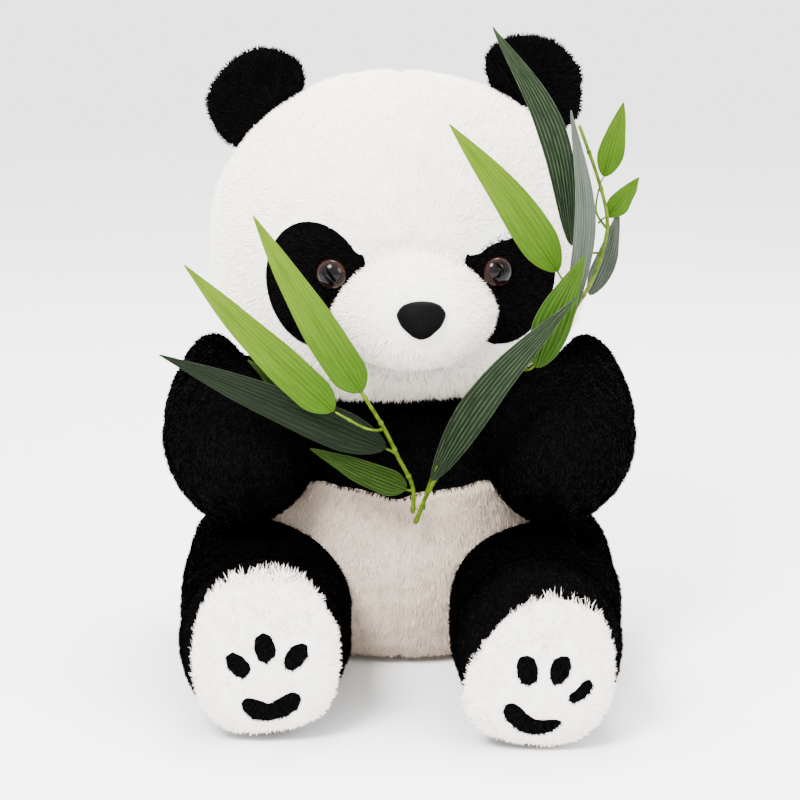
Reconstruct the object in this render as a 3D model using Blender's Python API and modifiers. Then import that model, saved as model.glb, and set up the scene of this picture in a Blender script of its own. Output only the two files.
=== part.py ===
"""A sitting plush panda with a two-branched spray of artificial bamboo, piece by piece.

Metres, +Z up. The panda faces -Y and its own left side is +X. The origin is on the floor, in the
middle of the flat seat panel. Every sewn part is a cloth skin around its own fibre filling, and
every piece that moves has its origin on its joint's axis.
"""

from math import atan2, cos, hypot, pi, radians, sin, sqrt

import bmesh
import bpy
from mathutils import Matrix, Vector

# Cloth and clearances
SKIN = 0.0024            # thickness of the backed pile cloth
INSET = 0.0042           # depth of a filling below the outside of its skin
GAP = 0.0006             # room between pieces sewn or laid together
LIMB_ROOM = 0.0022       # room between a limb and the body or head that it rests against
SPLAY_ROOM = 0.0016      # room between a leg at its widest splay and the body

# Joint axes
NECK_Z = 0.165
SHOULDER = Vector((0.1085, 0.0, 0.160))
HIP = Vector((0.082, -0.018, 0.048))
HEAD_YAW = radians(4.8)  # the face looks a little to its own left

# Head
HEAD_MIDDLE = Vector((0.0, -0.005, 0.268))
HEAD_RADII = Vector((0.127, 0.112, 0.112))
HEAD_POWER = 2.4         # fuller than an ellipsoid at the cheeks
CROWN_POWER = 2.1        # and nearly one above them
HEAD_UNDERSIDE = 0.1715  # the head's lowest level, flattened on the neck
HEAD_NECK_HOLE = 0.046

# Muzzle and nose, in the head's own front view
MUZZLE_MIDDLE = Vector((0.0, -0.106, 0.2395))
MUZZLE_RADII = Vector((0.0535, 0.047, 0.041))
MUZZLE_TAPER = 0.2       # narrowing of the muzzle towards its top
MUZZLE_SEAM_ROOM = 0.0026
NOSE_MIDDLE = (0.0005, 0.2420)
NOSE_SIZE = (0.0150, 0.0115)
NOSE_HEIGHT = 0.007

# Eyes and their patches, in the head's own front view
EYE_PLACE = (0.0516, 0.2625)
EYE_RADIUS = 0.0088
EYE_HEIGHT = 0.0062
EYE_SHAFT_RADIUS = 0.0022
EYE_SHAFT_LENGTH = 0.0150
WASHER = (0.0030, 0.0078, 0.0016)  # inner and outer radius, thickness
WASHER_ROOM = 0.0028     # between the washer and the inside of the head's skin
PATCH_MIDDLE = (0.0625, 0.2530)
PATCH_SIZE = (0.0300, 0.0415)
PATCH_TILT = radians(10)
PATCH_HEIGHT = 0.0026

# Ears
EAR_WIDTH = 0.0355       # half sizes: across, front to back, above and below the widest place
EAR_DEPTH = 0.0120
EAR_UPPER = 0.0310
EAR_LOWER = 0.0150
EAR_ANGLE = {"left": radians(49.4), "right": radians(135.3)}
EAR_SETBACK = 0.002
EAR_ROOM = 0.0022

# Body: level, half width, half depth
BODY_MIDDLE_Y = -0.005
BODY_LEVELS = (
    (0.0036, 0.090, 0.095),
    (0.0160, 0.102, 0.102),
    (0.0400, 0.113, 0.107),
    (0.0680, 0.117, 0.110),
    (0.0960, 0.113, 0.106),
    (0.1220, 0.104, 0.098),
)
YOKE_LEVELS = (
    (0.1228, 0.1037, 0.0977),
    (0.1400, 0.094, 0.088),
    (0.1510, 0.078, 0.074),
    (0.1560, 0.058, 0.056),
    (0.1570, 0.042, 0.042),
)
SEAT_SIZE = (0.088, 0.093)
NECK_RADIUS = 0.0348
NECK_BOTTOM = 0.1400
NECK_TOP = 0.1930

# Limbs
ARM_REACH = Vector((-0.011, -0.153, -0.009))
ARM_SHOULDER_SIZE = (0.0450, 0.0480)
ARM_PAW_SIZE = (0.0535, 0.0530)
LEG_LENGTH = {"left": 0.238, "right": 0.224}
LEG_THIGH_SIZE = (0.0530, 0.0470)
LEG_FOOT_SIZE = (0.0525, 0.0570)
LEG_SPLAY = radians(25)
SOLE_SIZE = {"left": (0.0455, 0.0490), "right": (0.0450, 0.0520)}
SOLE_LIFT = {"left": 0.0035, "right": 0.0080}  # the sole's middle above the hip's level
SOLE_HEIGHT = 0.0065

# Foot pads on each sole, sewn on by eye: place across and up from the middle, half sizes, tilt
FOOT_PADS = {
    "left": {
        "toe_pad_inner": (-0.0076, 0.0000, 0.0064, 0.0087, 0.0),
        "toe_pad_middle": (0.0122, 0.0000, 0.0064, 0.0087, 0.0),
        "toe_pad_outer": (0.0238, -0.0125, 0.0072, 0.0068, 0.6),
        "heel_pad": (-0.0052, -0.0280, 0.0178, 0.0085, -0.3),
    },
    "right": {
        "toe_pad_outer": (-0.0160, -0.0070, 0.0080, 0.0078, -0.5),
        "toe_pad_middle": (0.0000, 0.0036, 0.0065, 0.0091, 0.0),
        "toe_pad_inner": (0.0188, -0.0024, 0.0078, 0.0078, 0.5),
        "heel_pad": (0.0041, -0.0320, 0.0182, 0.0085, 0.1),
    },
}
PAD_HEIGHT = 0.0022

# Bamboo
STEM_RADIUS = 0.0016
TWIG_RADIUS = 0.0011
LEAF_THICKNESS = 0.0009

# Colours
WHITE = (0.88, 0.86, 0.82)
BLACK = (0.010, 0.010, 0.011)
FIBRE = (0.90, 0.90, 0.88)
STEM_GREEN = (0.30, 0.42, 0.06)
DARK_GREEN = (0.030, 0.100, 0.030)
MID_GREEN = (0.09, 0.24, 0.04)
LIGHT_GREEN = (0.26, 0.47, 0.08)
GREY_GREEN = (0.10, 0.17, 0.09)
SIDES = {"left": 1, "right": -1}


# ---------------------------------------------------------------- scene and objects

def clear_scene():
    for obj in list(bpy.data.objects):
        bpy.data.objects.remove(obj)


def new_collection(name):
    made = bpy.data.collections.new(name)
    bpy.context.scene.collection.children.link(made)
    return made


def material(name, colour, roughness, metallic=0.0):
    made = bpy.data.materials.new(name)
    made.use_nodes = True
    shader = made.node_tree.nodes["Principled BSDF"]
    shader.inputs["Base Color"].default_value = (*colour, 1.0)
    shader.inputs["Roughness"].default_value = roughness
    shader.inputs["Metallic"].default_value = metallic
    made.diffuse_color = (*colour, 1.0)
    return made


def place(name, data, look, where=None):
    """An object of the panda, with its own material, at a place given as a matrix."""
    obj = bpy.data.objects.new(name, data)
    panda.objects.link(obj)
    data.materials.append(material(name, *look))
    if where is not None:
        obj.matrix_world = where
    return obj


def outward(shape):
    """The shape with its faces pointing out; all of them already agree."""
    if shape.calc_volume(signed=True) < 0:
        bmesh.ops.reverse_faces(shape, faces=shape.faces)
    return shape


def place_bmesh(name, shape, look, where=None):
    mesh = bpy.data.meshes.new(name)
    shape.to_mesh(mesh)
    shape.free()
    mesh.shade_smooth()
    return place(name, mesh, look, where)


def solidify(obj, thickness, offset=-1.0):
    wall = obj.modifiers.new("wall", "SOLIDIFY")
    wall.thickness = thickness
    wall.offset = offset
    wall.use_even_offset = True
    return wall


def cutter(name, shape, where=None):
    mesh = bpy.data.meshes.new(name)
    shape.to_mesh(mesh)
    shape.free()
    obj = bpy.data.objects.new(name, mesh)
    cutters.objects.link(obj)
    obj.hide_render = True
    obj.display_type = "WIRE"
    if where is not None:
        obj.matrix_world = where
    return obj


def cut(obj, tool):
    step = obj.modifiers.new(tool.name, "BOOLEAN")
    step.operation = "DIFFERENCE"
    step.solver = "EXACT"
    step.object = tool


# ---------------------------------------------------------------- shapes

def sphere(around, rings):
    shape = bmesh.new()
    bmesh.ops.create_uvsphere(shape, u_segments=around, v_segments=rings, radius=1.0)
    return shape


def moved(shape, rule):
    """The shape with every vertex sent through a rule."""
    for vertex in shape.verts:
        vertex.co = rule(vertex.co.copy())
    return outward(shape)


def opened(shape, leaves):
    """The shape without the faces whose middle a test picks out."""
    gone = [face for face in shape.faces if leaves(face.calc_center_median())]
    bmesh.ops.delete(shape, geom=gone, context="FACES")
    return shape


def inset(shape, depth):
    """The closed shape shrunk along its normals."""
    shape.normal_update()
    for vertex, normal in [(v, v.normal.copy()) for v in shape.verts]:
        vertex.co -= normal * depth
    return shape


def loft(sections, start_pole=None, end_pole=None):
    """Rings of equal count joined in order, with a point to close either end."""
    shape = bmesh.new()
    rings = [[shape.verts.new(point) for point in ring] for ring in sections]
    count = len(rings[0])
    for low, high in zip(rings, rings[1:]):
        for i in range(count):
            j = (i + 1) % count
            shape.faces.new((low[i], low[j], high[j], high[i]))
    for pole, ring in ((start_pole, rings[0][::-1]), (end_pole, rings[-1])):
        if pole is None:
            continue
        tip = shape.verts.new(pole)
        for i in range(count):
            shape.faces.new((ring[i], ring[(i + 1) % count], tip))
    return outward(shape)


def head_power(height):
    """How full the head is at a height from -1 to 1 of its half height."""
    return HEAD_POWER + (CROWN_POWER - HEAD_POWER) * min(max(height * 2, 0.0), 1.0)


def head_point(unit):
    """A point of the head's outside, in the direction of a unit vector from its middle."""
    power = head_power(unit[2])
    size = sum(abs(c) ** power for c in unit) ** (-1 / power)
    return HEAD_MIDDLE + Vector(HEAD_RADII[i] * unit[i] * size for i in range(3))


def head_front(x, z):
    """The level (Y) of the head's outside at a place in its own front view."""
    height = (z - HEAD_MIDDLE.z) / HEAD_RADII.z
    power = head_power(height)
    inside = 1 - abs(x / HEAD_RADII.x) ** power - abs(height) ** power
    return HEAD_MIDDLE.y - HEAD_RADII.y * max(inside, 0.02) ** (1 / power)


def muzzle_front(x, z):
    dx = ((x - MUZZLE_MIDDLE.x) / MUZZLE_RADII.x) ** 2
    dz = ((z - MUZZLE_MIDDLE.z) / MUZZLE_RADII.z) ** 2
    return MUZZLE_MIDDLE.y - MUZZLE_RADII.y * sqrt(max(1 - dx - dz, 0.02))


def surface_normal(surface, x, z, step=0.0005):
    """The outward unit normal, towards -Y, of a surface given as its level over (x, z)."""
    slope_x = (surface(x + step, z) - surface(x - step, z)) / (2 * step)
    slope_z = (surface(x, z + step) - surface(x, z - step)) / (2 * step)
    return Vector((slope_x, -1.0, slope_z)).normalized()


def pad(middle, reach, surface, gap, height, around=16, rings=8, flatness=0.5):
    """A closed pad laid on a surface: reach(angle) is its outline's radius around the middle.

    Its back follows the surface a gap away, and its front is raised by the height.
    """
    def rule(unit):
        flat = hypot(unit.x, unit.y)
        angle = atan2(unit.y, unit.x)
        x = middle[0] + flat * reach(angle) * cos(angle)
        z = middle[1] + flat * reach(angle) * sin(angle)
        raised = max(unit.z, 0.0) ** flatness
        depth = gap + height * raised
        return Vector((x, surface(x, z), z)) + surface_normal(surface, x, z) * depth

    return moved(sphere(around, rings), rule)


def oval(half_width, half_height, tilt=0.0):
    """The radius of a tilted ellipse by angle."""
    def reach(angle):
        turned = angle - tilt
        return 1 / hypot(cos(turned) / half_width, sin(turned) / half_height)
    return reach


def clear_of_muzzle(middle, reach, room):
    """An outline held back where it would run under the muzzle's edge."""
    wide = MUZZLE_RADII.x + room
    high = MUZZLE_RADII.z + room
    start = Vector(((middle[0] - MUZZLE_MIDDLE.x) / wide, (middle[1] - MUZZLE_MIDDLE.z) / high))

    def held(angle):
        way = Vector((cos(angle) / wide, sin(angle) / high))
        a, b, c = way.dot(way), start.dot(way), start.dot(start) - 1
        root = b * b - a * c
        if root < 0 or b > 0:
            return reach(angle)
        return min(reach(angle), (-b - sqrt(root)) / a)
    return held


def turned(name, profile, steps, look, where):
    """A profile in the local XZ plane turned about the local Z axis."""
    mesh = bpy.data.meshes.new(name)
    edges = [(i, i + 1) for i in range(len(profile) - 1)]
    if profile[0][0] > 0:
        edges.append((len(profile) - 1, 0))
    mesh.from_pydata([(x, 0.0, z) for x, z in profile], edges, [])
    obj = place(name, mesh, look, where)
    screw = obj.modifiers.new("turn", "SCREW")
    screw.steps = steps
    screw.render_steps = steps
    screw.use_merge_vertices = True
    screw.merge_threshold = 0.00002
    screw.use_smooth_shade = True
    return obj


def aim(point, direction):
    """A matrix whose local +Z points along a direction."""
    return Matrix.Translation(point) @ direction.to_track_quat("Z", "Y").to_matrix().to_4x4()


# ---------------------------------------------------------------- head

HEAD_TURN = Matrix.Rotation(HEAD_YAW, 4, "Z")


def head_surface(around, rings):
    """The head's outside, flattened where it sits on the neck."""
    def rule(unit):
        point = head_point(unit)
        point.z = max(point.z, HEAD_UNDERSIDE)
        return point
    return moved(sphere(around, rings), rule)


def make_head():
    under = HEAD_UNDERSIDE + 0.0005
    skin = opened(head_surface(24, 14), lambda p: hypot(p.x, p.y) < HEAD_NECK_HOLE and p.z < under)
    skin = place_bmesh("head_skin", skin, (WHITE, 0.9), HEAD_TURN)
    solidify(skin, SKIN)
    filling = place_bmesh("head_filling", inset(head_surface(16, 12), INSET + 0.001), (FIBRE, 0.95), HEAD_TURN)
    neck_pocket = bmesh.new()
    bmesh.ops.create_cone(
        neck_pocket, cap_ends=True, segments=20,
        radius1=NECK_RADIUS + 0.004, radius2=NECK_RADIUS + 0.004, depth=0.06,
    )
    middle = NECK_TOP + 0.004 - 0.03
    cut(filling, cutter("neck_pocket", neck_pocket, Matrix.Translation((0, 0, middle))))
    return skin, filling


def make_muzzle():
    """A stuffed pad whose back follows the face."""
    def rule(unit):
        point = MUZZLE_MIDDLE + Vector(MUZZLE_RADII[i] * unit[i] for i in range(3))
        point.x *= 1 - MUZZLE_TAPER * max(unit.z, 0.0)
        back = head_front(point.x, point.z) - MUZZLE_SEAM_ROOM
        point.y = min(point.y, back)
        return point

    def is_back(point):
        return point.y > head_front(point.x, point.z) - MUZZLE_SEAM_ROOM - 0.0008

    upright = Matrix.Rotation(pi / 2, 3, "X")
    ball = moved(sphere(18, 10), lambda p: upright @ p)
    skin = opened(moved(ball, rule), is_back)
    solidify(place_bmesh("muzzle_skin", skin, (WHITE, 0.9), HEAD_TURN), SKIN)
    ball = moved(sphere(14, 8), lambda p: upright @ p)
    place_bmesh("muzzle_filling", inset(moved(ball, rule), INSET), (FIBRE, 0.95), HEAD_TURN)


def make_nose():
    def reach(angle):
        """A triangle with round corners, point down."""
        corner = 1 + 0.16 * cos(3 * (angle + pi / 2))
        return corner / hypot(cos(angle) / NOSE_SIZE[0], sin(angle) / NOSE_SIZE[1])

    shape = pad(NOSE_MIDDLE, reach, muzzle_front, GAP, NOSE_HEIGHT, around=18, rings=8)
    place_bmesh("nose", shape, (BLACK, 0.55), HEAD_TURN)


def make_eye(side, sign, head_skin, head_filling):
    """A patch of black pile, and a domed eye whose shaft a washer locks inside the head."""
    patch_at = (sign * PATCH_MIDDLE[0], PATCH_MIDDLE[1])
    reach = clear_of_muzzle(patch_at, oval(*PATCH_SIZE, -sign * PATCH_TILT), 0.0032)
    shape = pad(patch_at, reach, head_front, GAP, PATCH_HEIGHT, around=20, rings=6, flatness=0.2)
    patch = place_bmesh(f"eye_patch_{side}", shape, (BLACK, 0.9), HEAD_TURN)

    x, z = sign * EYE_PLACE[0], EYE_PLACE[1]
    outward = surface_normal(head_front, x, z)
    seat = Vector((x, head_front(x, z), z)) + outward * (GAP + PATCH_HEIGHT + GAP)
    at_eye = HEAD_TURN @ aim(seat, outward)
    angles = [i * pi / 8 for i in range(5)]
    dome = [(EYE_RADIUS * sin(angle), EYE_HEIGHT * cos(angle)) for angle in angles]
    shaft = [
        (EYE_SHAFT_RADIUS, 0.0),
        (EYE_SHAFT_RADIUS, 0.001 - EYE_SHAFT_LENGTH),
        (0.0, -EYE_SHAFT_LENGTH),
    ]
    turned(f"eye_{side}", dome + shaft, 14, ((0.02, 0.009, 0.005), 0.06), at_eye)

    inner, outer, thick = WASHER
    top = -(PATCH_HEIGHT + 2 * GAP + SKIN + WASHER_ROOM)
    ring = [(inner, top), (outer, top), (outer, top - thick), (inner, top - thick)]
    turned(f"eye_washer_{side}", ring, 14, ((0.8, 0.8, 0.78), 0.4), at_eye)

    hole = bmesh.new()
    bmesh.ops.create_cone(
        hole, cap_ends=True, segments=12,
        radius1=EYE_SHAFT_RADIUS + 0.0006, radius2=EYE_SHAFT_RADIUS + 0.0006, depth=0.03,
    )
    shaft_hole = cutter(f"shaft_hole_{side}", hole, at_eye)
    cut(head_skin, shaft_hole)
    cut(patch, shaft_hole)
    pocket = bmesh.new()
    bmesh.ops.create_cone(
        pocket, cap_ends=True, segments=14,
        radius1=outer + 0.001, radius2=outer + 0.001, depth=2 * EYE_SHAFT_LENGTH + 0.004,
    )
    cut(head_filling, cutter(f"washer_pocket_{side}", pocket, at_eye))


def make_ear(side):
    """Two layers sewn round the rim and lightly filled, its foot curved to the head."""
    out = Vector((cos(EAR_ANGLE[side]), 0.0, sin(EAR_ANGLE[side])))
    head_reach = (head_point(out) - HEAD_MIDDLE).length
    foot = Vector((0, EAR_SETBACK, HEAD_MIDDLE.z)) + out * (head_reach + EAR_ROOM)

    def rule(unit):
        x = unit.x * EAR_WIDTH
        z = unit.z * (EAR_UPPER if unit.z > 0 else EAR_LOWER) + EAR_LOWER
        fall = x ** 2 / (2 * HEAD_RADII.z) * min(max(-2 * unit.z, 0.0), 1.0)
        return Vector((x, unit.y * EAR_DEPTH, z - fall))

    across = Vector((out.z, 0.0, -out.x))
    frame = Matrix((across, Vector((0, 1, 0)), out)).transposed().to_4x4()
    shape = moved(sphere(16, 8), rule)
    place_bmesh(f"ear_{side}", shape, (BLACK, 0.9), Matrix.Translation(foot) @ frame)


# ---------------------------------------------------------------- limbs

def oval_ring(middle, half_width, half_height, count=18):
    """A ring across a limb that runs along Y."""
    ring = []
    for i in range(count):
        angle = 2 * pi * i / count
        across = Vector((half_width * cos(angle), 0.0, half_height * sin(angle)))
        ring.append(middle + across)
    return ring


def arm_sections(sign, extra=0.0):
    """From a round shoulder, unchanged by turning about the joint's axis, to a blunt paw."""
    width, height = ARM_SHOULDER_SIZE
    paw_width, paw_height = ARM_PAW_SIZE
    reach = Vector((sign * ARM_REACH.x, ARM_REACH.y, ARM_REACH.z))
    rings = []
    for angle in (radians(68), radians(44), radians(20)):
        middle = Vector((0, (width + extra) * sin(angle), 0))
        scale = cos(angle)
        rings.append(oval_ring(middle, (width + extra) * scale, (height + extra) * scale))
    for part in (0.0, 0.22, 0.45, 0.68, 0.84, 0.95):
        swell = sin(min(part / 0.6, 1.0) * pi / 2)
        blunt = (1 - max(part - 0.45, 0.0) ** 2 / 0.55 ** 2) ** 0.5
        half_width = (width + (paw_width - width) * swell) * blunt + extra
        half_height = (height + (paw_height - height) * swell) * blunt + extra
        rings.append(oval_ring(reach * part, half_width, half_height))
    return rings, Vector((0, width + extra, 0)), reach * (1 + extra / 0.15)


def head_ceiling(x, y):
    """The lowest level that the turning, nodding head leaves free above a place."""
    room = HEAD_RADII.x + 0.004
    out = (hypot(x, y - HEAD_MIDDLE.y) / room) ** HEAD_POWER
    if out >= 1:
        return 1.0
    level = HEAD_MIDDLE.z - (HEAD_RADII.z + 0.003) * (1 - out) ** (1 / HEAD_POWER)
    return max(level, HEAD_UNDERSIDE - 0.003) - 0.07 * hypot(x, y)


def arm_surface(sign, extra=0.0):
    """An arm's outside, pressed down where the head rests on it through the arm's travel."""
    rings, back, front = arm_sections(sign, extra)
    shape = loft(rings, back, front)
    pivot = Vector((sign * SHOULDER.x, SHOULDER.y, SHOULDER.z))
    for vertex in shape.verts:
        for opened_by in (0, 10, 20, 30):
            turn = Matrix.Rotation(sign * radians(opened_by), 3, "Z")
            at = pivot + turn @ vertex.co
            vertex.co.z = min(vertex.co.z, head_ceiling(at.x, at.y) - pivot.z)
    return shape


def make_arm(side, sign):
    pivot = Vector((sign * SHOULDER.x, SHOULDER.y, SHOULDER.z))
    where = Matrix.Translation(pivot)

    def faces_body(point):
        return point.y > -0.02 and point.x * sign < -0.022 and abs(point.z) < 0.035

    skin = opened(arm_surface(sign), faces_body)
    solidify(place_bmesh(f"arm_skin_{side}", skin, (BLACK, 0.85), where), SKIN)
    filling = inset(arm_surface(sign), INSET)
    place_bmesh(f"arm_filling_{side}", filling, (FIBRE, 0.95), where)


def leg_sections(side, extra=0.0):
    """From a round hip, unchanged by turning about the joint's axis, to a taller foot."""
    width, height = LEG_THIGH_SIZE
    foot_width, foot_height = LEG_FOOT_SIZE
    length = LEG_LENGTH[side]
    foot_start, foot_end = 0.165, 0.205
    rings = []
    for angle in (radians(68), radians(44), radians(20)):
        middle = Vector((0, (width + extra) * sin(angle), 0))
        scale = cos(angle)
        rings.append(oval_ring(middle, (width + extra) * scale, (height + extra) * scale))
    for along in (0.0, 0.06, 0.12, foot_start, 0.185, foot_end, length - 0.008, length):
        blend = min(max((along - foot_start) / (foot_end - foot_start), 0.0), 1.0)
        rounding = 0.0035 if along == length else 0.0
        half_width = width + (foot_width - width) * blend - rounding + extra
        half_height = height + (foot_height - height) * blend - rounding + extra
        middle = Vector((0, -along, blend * (foot_height - height)))
        rings.append(oval_ring(middle, half_width, half_height))
    return rings, Vector((0, width + extra, 0))


def leg_place(sign):
    return Matrix.Translation((sign * HIP.x, HIP.y, HIP.z))


def make_leg(side, sign):
    where = leg_place(sign)
    rings, back = leg_sections(side)

    def faces_body(point):
        return point.y > -0.01 and point.x * sign < -0.020 and abs(point.z) < 0.035

    skin = opened(loft(rings, back), faces_body)
    solidify(place_bmesh(f"leg_skin_{side}", skin, (BLACK, 0.85), where), SKIN)
    filling = inset(loft(rings, back, Vector((0, -LEG_LENGTH[side], 0.007))), INSET)
    place_bmesh(f"leg_filling_{side}", filling, (FIBRE, 0.95), where)


def make_foot(side, sign):
    """The white sole over the foot's open end, with its black pads."""
    where = leg_place(sign)
    length = LEG_LENGTH[side]
    wide, high = SOLE_SIZE[side]
    lift = SOLE_LIFT[side]

    def foot_end(x, z):
        return -length - 0.0016

    def sole_front(x, z):
        out = (x / wide) ** 2 + ((z - lift) / high) ** 2
        raised = max(1 - out, 0.0) ** 0.15
        return foot_end(x, z) - GAP - SOLE_HEIGHT * raised

    sole = pad((0.0, lift), oval(wide, high), foot_end, GAP, SOLE_HEIGHT, 20, 8, 0.3)
    place_bmesh(f"sole_{side}", sole, (WHITE, 0.9), where)
    for name, (across, up, half_width, half_height, tilt) in FOOT_PADS[side].items():
        outline = oval(half_width, half_height, tilt)
        shape = pad((across, up + lift), outline, sole_front, GAP, PAD_HEIGHT, 12, 4)
        place_bmesh(f"{name}_{side}", shape, (BLACK, 0.8), where)


def limb_cutters():
    """The room that each limb takes out of the body, as closed solids."""
    tools = []
    for side, sign in SIDES.items():
        rings, back, front = arm_sections(sign, LIMB_ROOM)
        pivot = Vector((sign * SHOULDER.x, SHOULDER.y, SHOULDER.z))
        where = Matrix.Translation(pivot)
        tools.append(cutter(f"arm_room_{side}", loft(rings, back, front), where))
        for name, turn, room in (
            ("leg_room", 0.0, LIMB_ROOM),
            ("leg_splay_room", LEG_SPLAY, SPLAY_ROOM),
        ):
            rings, back = leg_sections(side, room)
            front = Vector((0, -LEG_LENGTH[side], 0))
            where = leg_place(sign) @ Matrix.Rotation(sign * turn, 4, "Z")
            tools.append(cutter(f"{name}_{side}", loft(rings, back, front), where))
    return tools


# ---------------------------------------------------------------- body

def body_rings(levels, count=28):
    rings = []
    for z, wide, deep in levels:
        ring = []
        for i in range(count):
            angle = 2 * pi * i / count
            ring.append(Vector((wide * cos(angle), BODY_MIDDLE_Y + deep * sin(angle), z)))
        rings.append(ring)
    return rings


def make_body():
    tools = limb_cutters()
    belly = place_bmesh("belly_skin", loft(body_rings(BODY_LEVELS)), (WHITE, 0.9))
    yoke = place_bmesh("yoke_skin", loft(body_rings(YOKE_LEVELS)), (BLACK, 0.85))
    for skin in (belly, yoke):
        solidify(skin, SKIN)
    seat = bmesh.new()
    bmesh.ops.create_cone(
        seat, cap_ends=True, segments=28, radius1=1.0, radius2=1.0, depth=SKIN,
    )
    bmesh.ops.scale(seat, vec=(SEAT_SIZE[0], SEAT_SIZE[1], 1.0), verts=seat.verts)
    bmesh.ops.translate(seat, vec=(0, BODY_MIDDLE_Y, SKIN / 2), verts=seat.verts)
    seat = place_bmesh("seat_panel", seat, (WHITE, 0.9))

    levels = [(z, wide - INSET, deep - INSET) for z, wide, deep in BODY_LEVELS[1:]]
    levels = [(SKIN + 0.0016, SEAT_SIZE[0] - 0.004, SEAT_SIZE[1] - 0.004)] + levels
    levels.append((0.1300, 0.0950, 0.0890))
    low = Vector((0, BODY_MIDDLE_Y, levels[0][0]))
    high = Vector((0, BODY_MIDDLE_Y, levels[-1][0]))
    filling = place_bmesh("body_filling", loft(body_rings(levels), low, high), (FIBRE, 0.95))
    for piece in (belly, yoke, seat, filling):
        for tool in tools:
            cut(piece, tool)

    neck = bmesh.new()
    bmesh.ops.create_cone(
        neck, cap_ends=True, segments=20,
        radius1=NECK_RADIUS, radius2=NECK_RADIUS, depth=NECK_TOP - NECK_BOTTOM,
    )
    middle = (NECK_TOP + NECK_BOTTOM) / 2 - NECK_Z
    bmesh.ops.translate(neck, vec=(0, 0, middle), verts=neck.verts)
    place_bmesh("neck_filling", neck, (FIBRE, 0.95), Matrix.Translation((0, 0, NECK_Z)))


# ---------------------------------------------------------------- bamboo

def smooth_path(points, per_span=3):
    """Points read from a smooth curve through the given ones."""
    points = [Vector(p) for p in points]
    ends = [2 * points[0] - points[1], *points, 2 * points[-1] - points[-2]]
    path = []
    for a, b, c, d in zip(ends, ends[1:], ends[2:], ends[3:]):
        for i in range(per_span):
            t = i / per_span
            path.append(0.5 * (2 * b + (c - a) * t + (2 * a - 5 * b + 4 * c - d) * t ** 2
                               + (3 * b - a - 3 * c + d) * t ** 3))
    return [*path, points[-1]]


def make_stem(name, points, radius, foot):
    """A moulded stem, its origin at the foot where the spray is tied."""
    curve = bpy.data.curves.new(name, "CURVE")
    curve.dimensions = "3D"
    curve.bevel_depth = radius
    curve.bevel_resolution = 1
    curve.use_fill_caps = True
    path = smooth_path(points)
    spline = curve.splines.new("POLY")
    spline.points.add(len(path) - 1)
    for point, at in zip(spline.points, path):
        point.co = (*(at - foot), 1.0)
    place(name, curve, (STEM_GREEN, 0.45), Matrix.Translation(foot))


def make_leaf(name, base, tip, width, look, foot, bow=0.008, roll=0.0):
    """A long pointed leaf, folded a little along its midrib and bowed between its ends."""
    base, tip = Vector(base), Vector(tip)
    along = tip - base
    toward_view = Vector((0, -1, 0))
    across = along.cross(toward_view).normalized()
    up = across.cross(along).normalized()
    across = Matrix.Rotation(roll, 3, along.normalized()) @ across
    shape = bmesh.new()
    bmesh.ops.create_grid(shape, x_segments=2, y_segments=6, size=1.0)

    def rule(flat):
        t = (flat.y + 1) / 2
        half = width / 2 * sin(pi * min(t, 0.985) ** 0.75) ** 0.7 + 0.0007
        fold = 0.10 * half * abs(flat.x)
        arch = bow * sin(pi * t)
        return base + along * t + across * half * flat.x + up * (arch + fold) - foot

    leaf = place_bmesh(name, moved(shape, rule), (look, 0.5), Matrix.Translation(foot))
    solidify(leaf, LEAF_THICKNESS, 0.0)


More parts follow.
